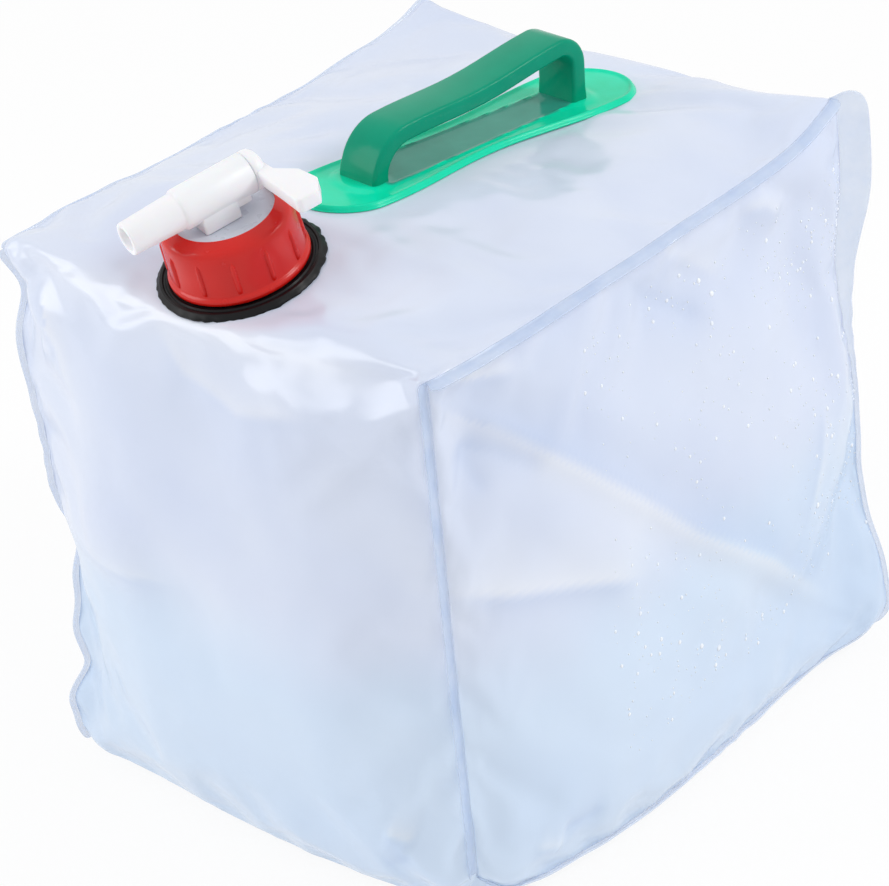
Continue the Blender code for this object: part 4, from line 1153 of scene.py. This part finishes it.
def rounded_rectangle(half_wide, half_thick, radius):
    """The strap's outline across, from its right edge round."""
    points = []
    for side, face, first in ((1, 1, 0), (-1, 1, 90), (-1, -1, 180), (1, -1, 270)):
        for i in range(EDGE_STEPS + 1):
            angle = math.radians(first + 90 * i / EDGE_STEPS)
            p = side * (half_wide - radius) + radius * math.cos(angle)
            q = face * (half_thick - radius) + radius * math.sin(angle)
            points.append((p, q))
    return points


def bend_points(middle, bend, first, last):
    """The middle of the strap round one bend, each point with its outward angle in degrees."""
    reach = bend - GRIP_THICKNESS / 2
    points = []
    for i in range(BEND_STEPS + 1):
        angle = first + (last - first) * i / BEND_STEPS
        turn = math.radians(angle)
        points.append((middle[0] + reach * math.cos(turn), middle[1] + reach * math.sin(turn), angle))
    return points


def grip_path():
    """The middle of the strap from near foot to far foot, each point with its outward angle."""
    half = GRIP_THICKNESS / 2
    near = (-GRIP_END + NEAR_BEND, NEAR_TOP - NEAR_BEND)
    far = (GRIP_END - FAR_BEND, FAR_TOP - FAR_BEND)
    climb = math.degrees(math.atan2(far[1] - near[1], far[0] - near[0]))
    top_angle = climb + math.degrees(math.acos((NEAR_BEND - FAR_BEND) / math.dist(near, far)))
    rise = [(-GRIP_END + half, GRIP_FOOT + (near[1] - GRIP_FOOT) * i / 4, 180) for i in range(4)]
    near_bend = bend_points(near, NEAR_BEND, 180, top_angle)
    far_bend = bend_points(far, FAR_BEND, top_angle, 0)
    before, after = near_bend[-1], far_bend[0]
    top = []
    for i in range(1, SAG_STEPS):
        t = i / SAG_STEPS
        sag = GRIP_SAG * (0.5 - 0.5 * math.cos(math.tau * t))
        slope = GRIP_SAG * math.pi * math.sin(math.tau * t) / (after[0] - before[0])
        y, z = (a + (b - a) * t for a, b in zip(before[:2], after[:2]))
        top.append((y, z - sag, top_angle - math.degrees(math.atan(slope))))
    fall = [(GRIP_END - half, far[1] - (far[1] - GRIP_FOOT) * i / 5, 0) for i in range(1, 6)]
    return rise + near_bend + top + far_bend + fall


def make_grip():
    """The strap swept along its path, a little thicker towards its feet."""
    bm = bmesh.new()
    stations = []
    for y, z, angle in grip_path():
        out = Vector((0, math.cos(math.radians(angle)), math.sin(math.radians(angle))))
        flare = 1 + GRIP_FLARE * max(0, 1 - z / FLARE_HEIGHT)
        stations.append((Vector((0, y - GRIP_AHEAD, z)), Vector((1, 0, 0)), out * flare))
    sweep(bm, stations, rounded_rectangle(GRIP_HALF_WIDTH, GRIP_THICKNESS / 2, GRIP_EDGE))
    grip = finish_piece("grip_strap", bm, GRIP_GREEN, HANDLE, smooth_angle=50)
    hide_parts("handle_grip")
    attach(grip, "top")


make_grip()


# Droplets. Small beads of water left on the right side, from its middle to the back edge. They
# stand thick in patches, and each is a flattened bead half sunk in the film.

DROP_STEP = 3
DROP_PATCH = 40.0
DROP_SMALL, DROP_SPREAD, DROP_LARGE = 0.32, 2.2, 0.8
DROP_RISE = 0.5
DROP_CLOUD = 4.0
DROP_FRONT, DROP_LOW, DROP_HIGH = -0.06, 0.05, 0.25


def droplet_material():
    """Water in a thin bead: smooth, almost white as a painted highlight, so each is a small light point."""
    material, tree, shader = new_material("water_droplets", "F6FAFF", 0.1)
    feed(tree, shader.inputs["Base Color"], clouds(tree, DROP_CLOUD, "E6F0FF", "FFFFFF", detail=2))
    return material


def make_droplets():
    """Seats a bead on every few points of the right sheet where the noise lets one stand."""
    verts = right_sheet.data.vertices
    bm = bmesh.new()
    for k in range(0, len(verts), DROP_STEP):
        here = verts[k].co
        chance = noise.noise(Vector((k * 0.731, 3.3, 1.7))) + 0.5
        thick = noise.noise(here / (DROP_PATCH * MM)) * 0.5 + 0.35
        dry = here.y < DROP_FRONT or here.z > DROP_HIGH or here.z < DROP_LOW
        if dry or chance > thick:
            continue
        size = DROP_SMALL + DROP_SPREAD * abs(noise.noise(Vector((k * 1.37, 0.2, 8.1)))) ** 1.5
        rings = 2 if size > DROP_LARGE else 1
        bead = bmesh.ops.create_icosphere(bm, subdivisions=rings, radius=1)["verts"]
        turn = verts[k].normal.to_track_quat("Z", "Y").to_matrix().to_4x4()
        flattened = Matrix.Diagonal((size, size, size * DROP_RISE, 1))
        matrix = Matrix.Translation(here / MM) @ turn @ flattened
        bmesh.ops.transform(bm, matrix=matrix, verts=bead)
    drops = finish_piece("water_droplets", bm, droplet_material(), smooth_angle=80)
    follow_film(drops)


make_droplets()
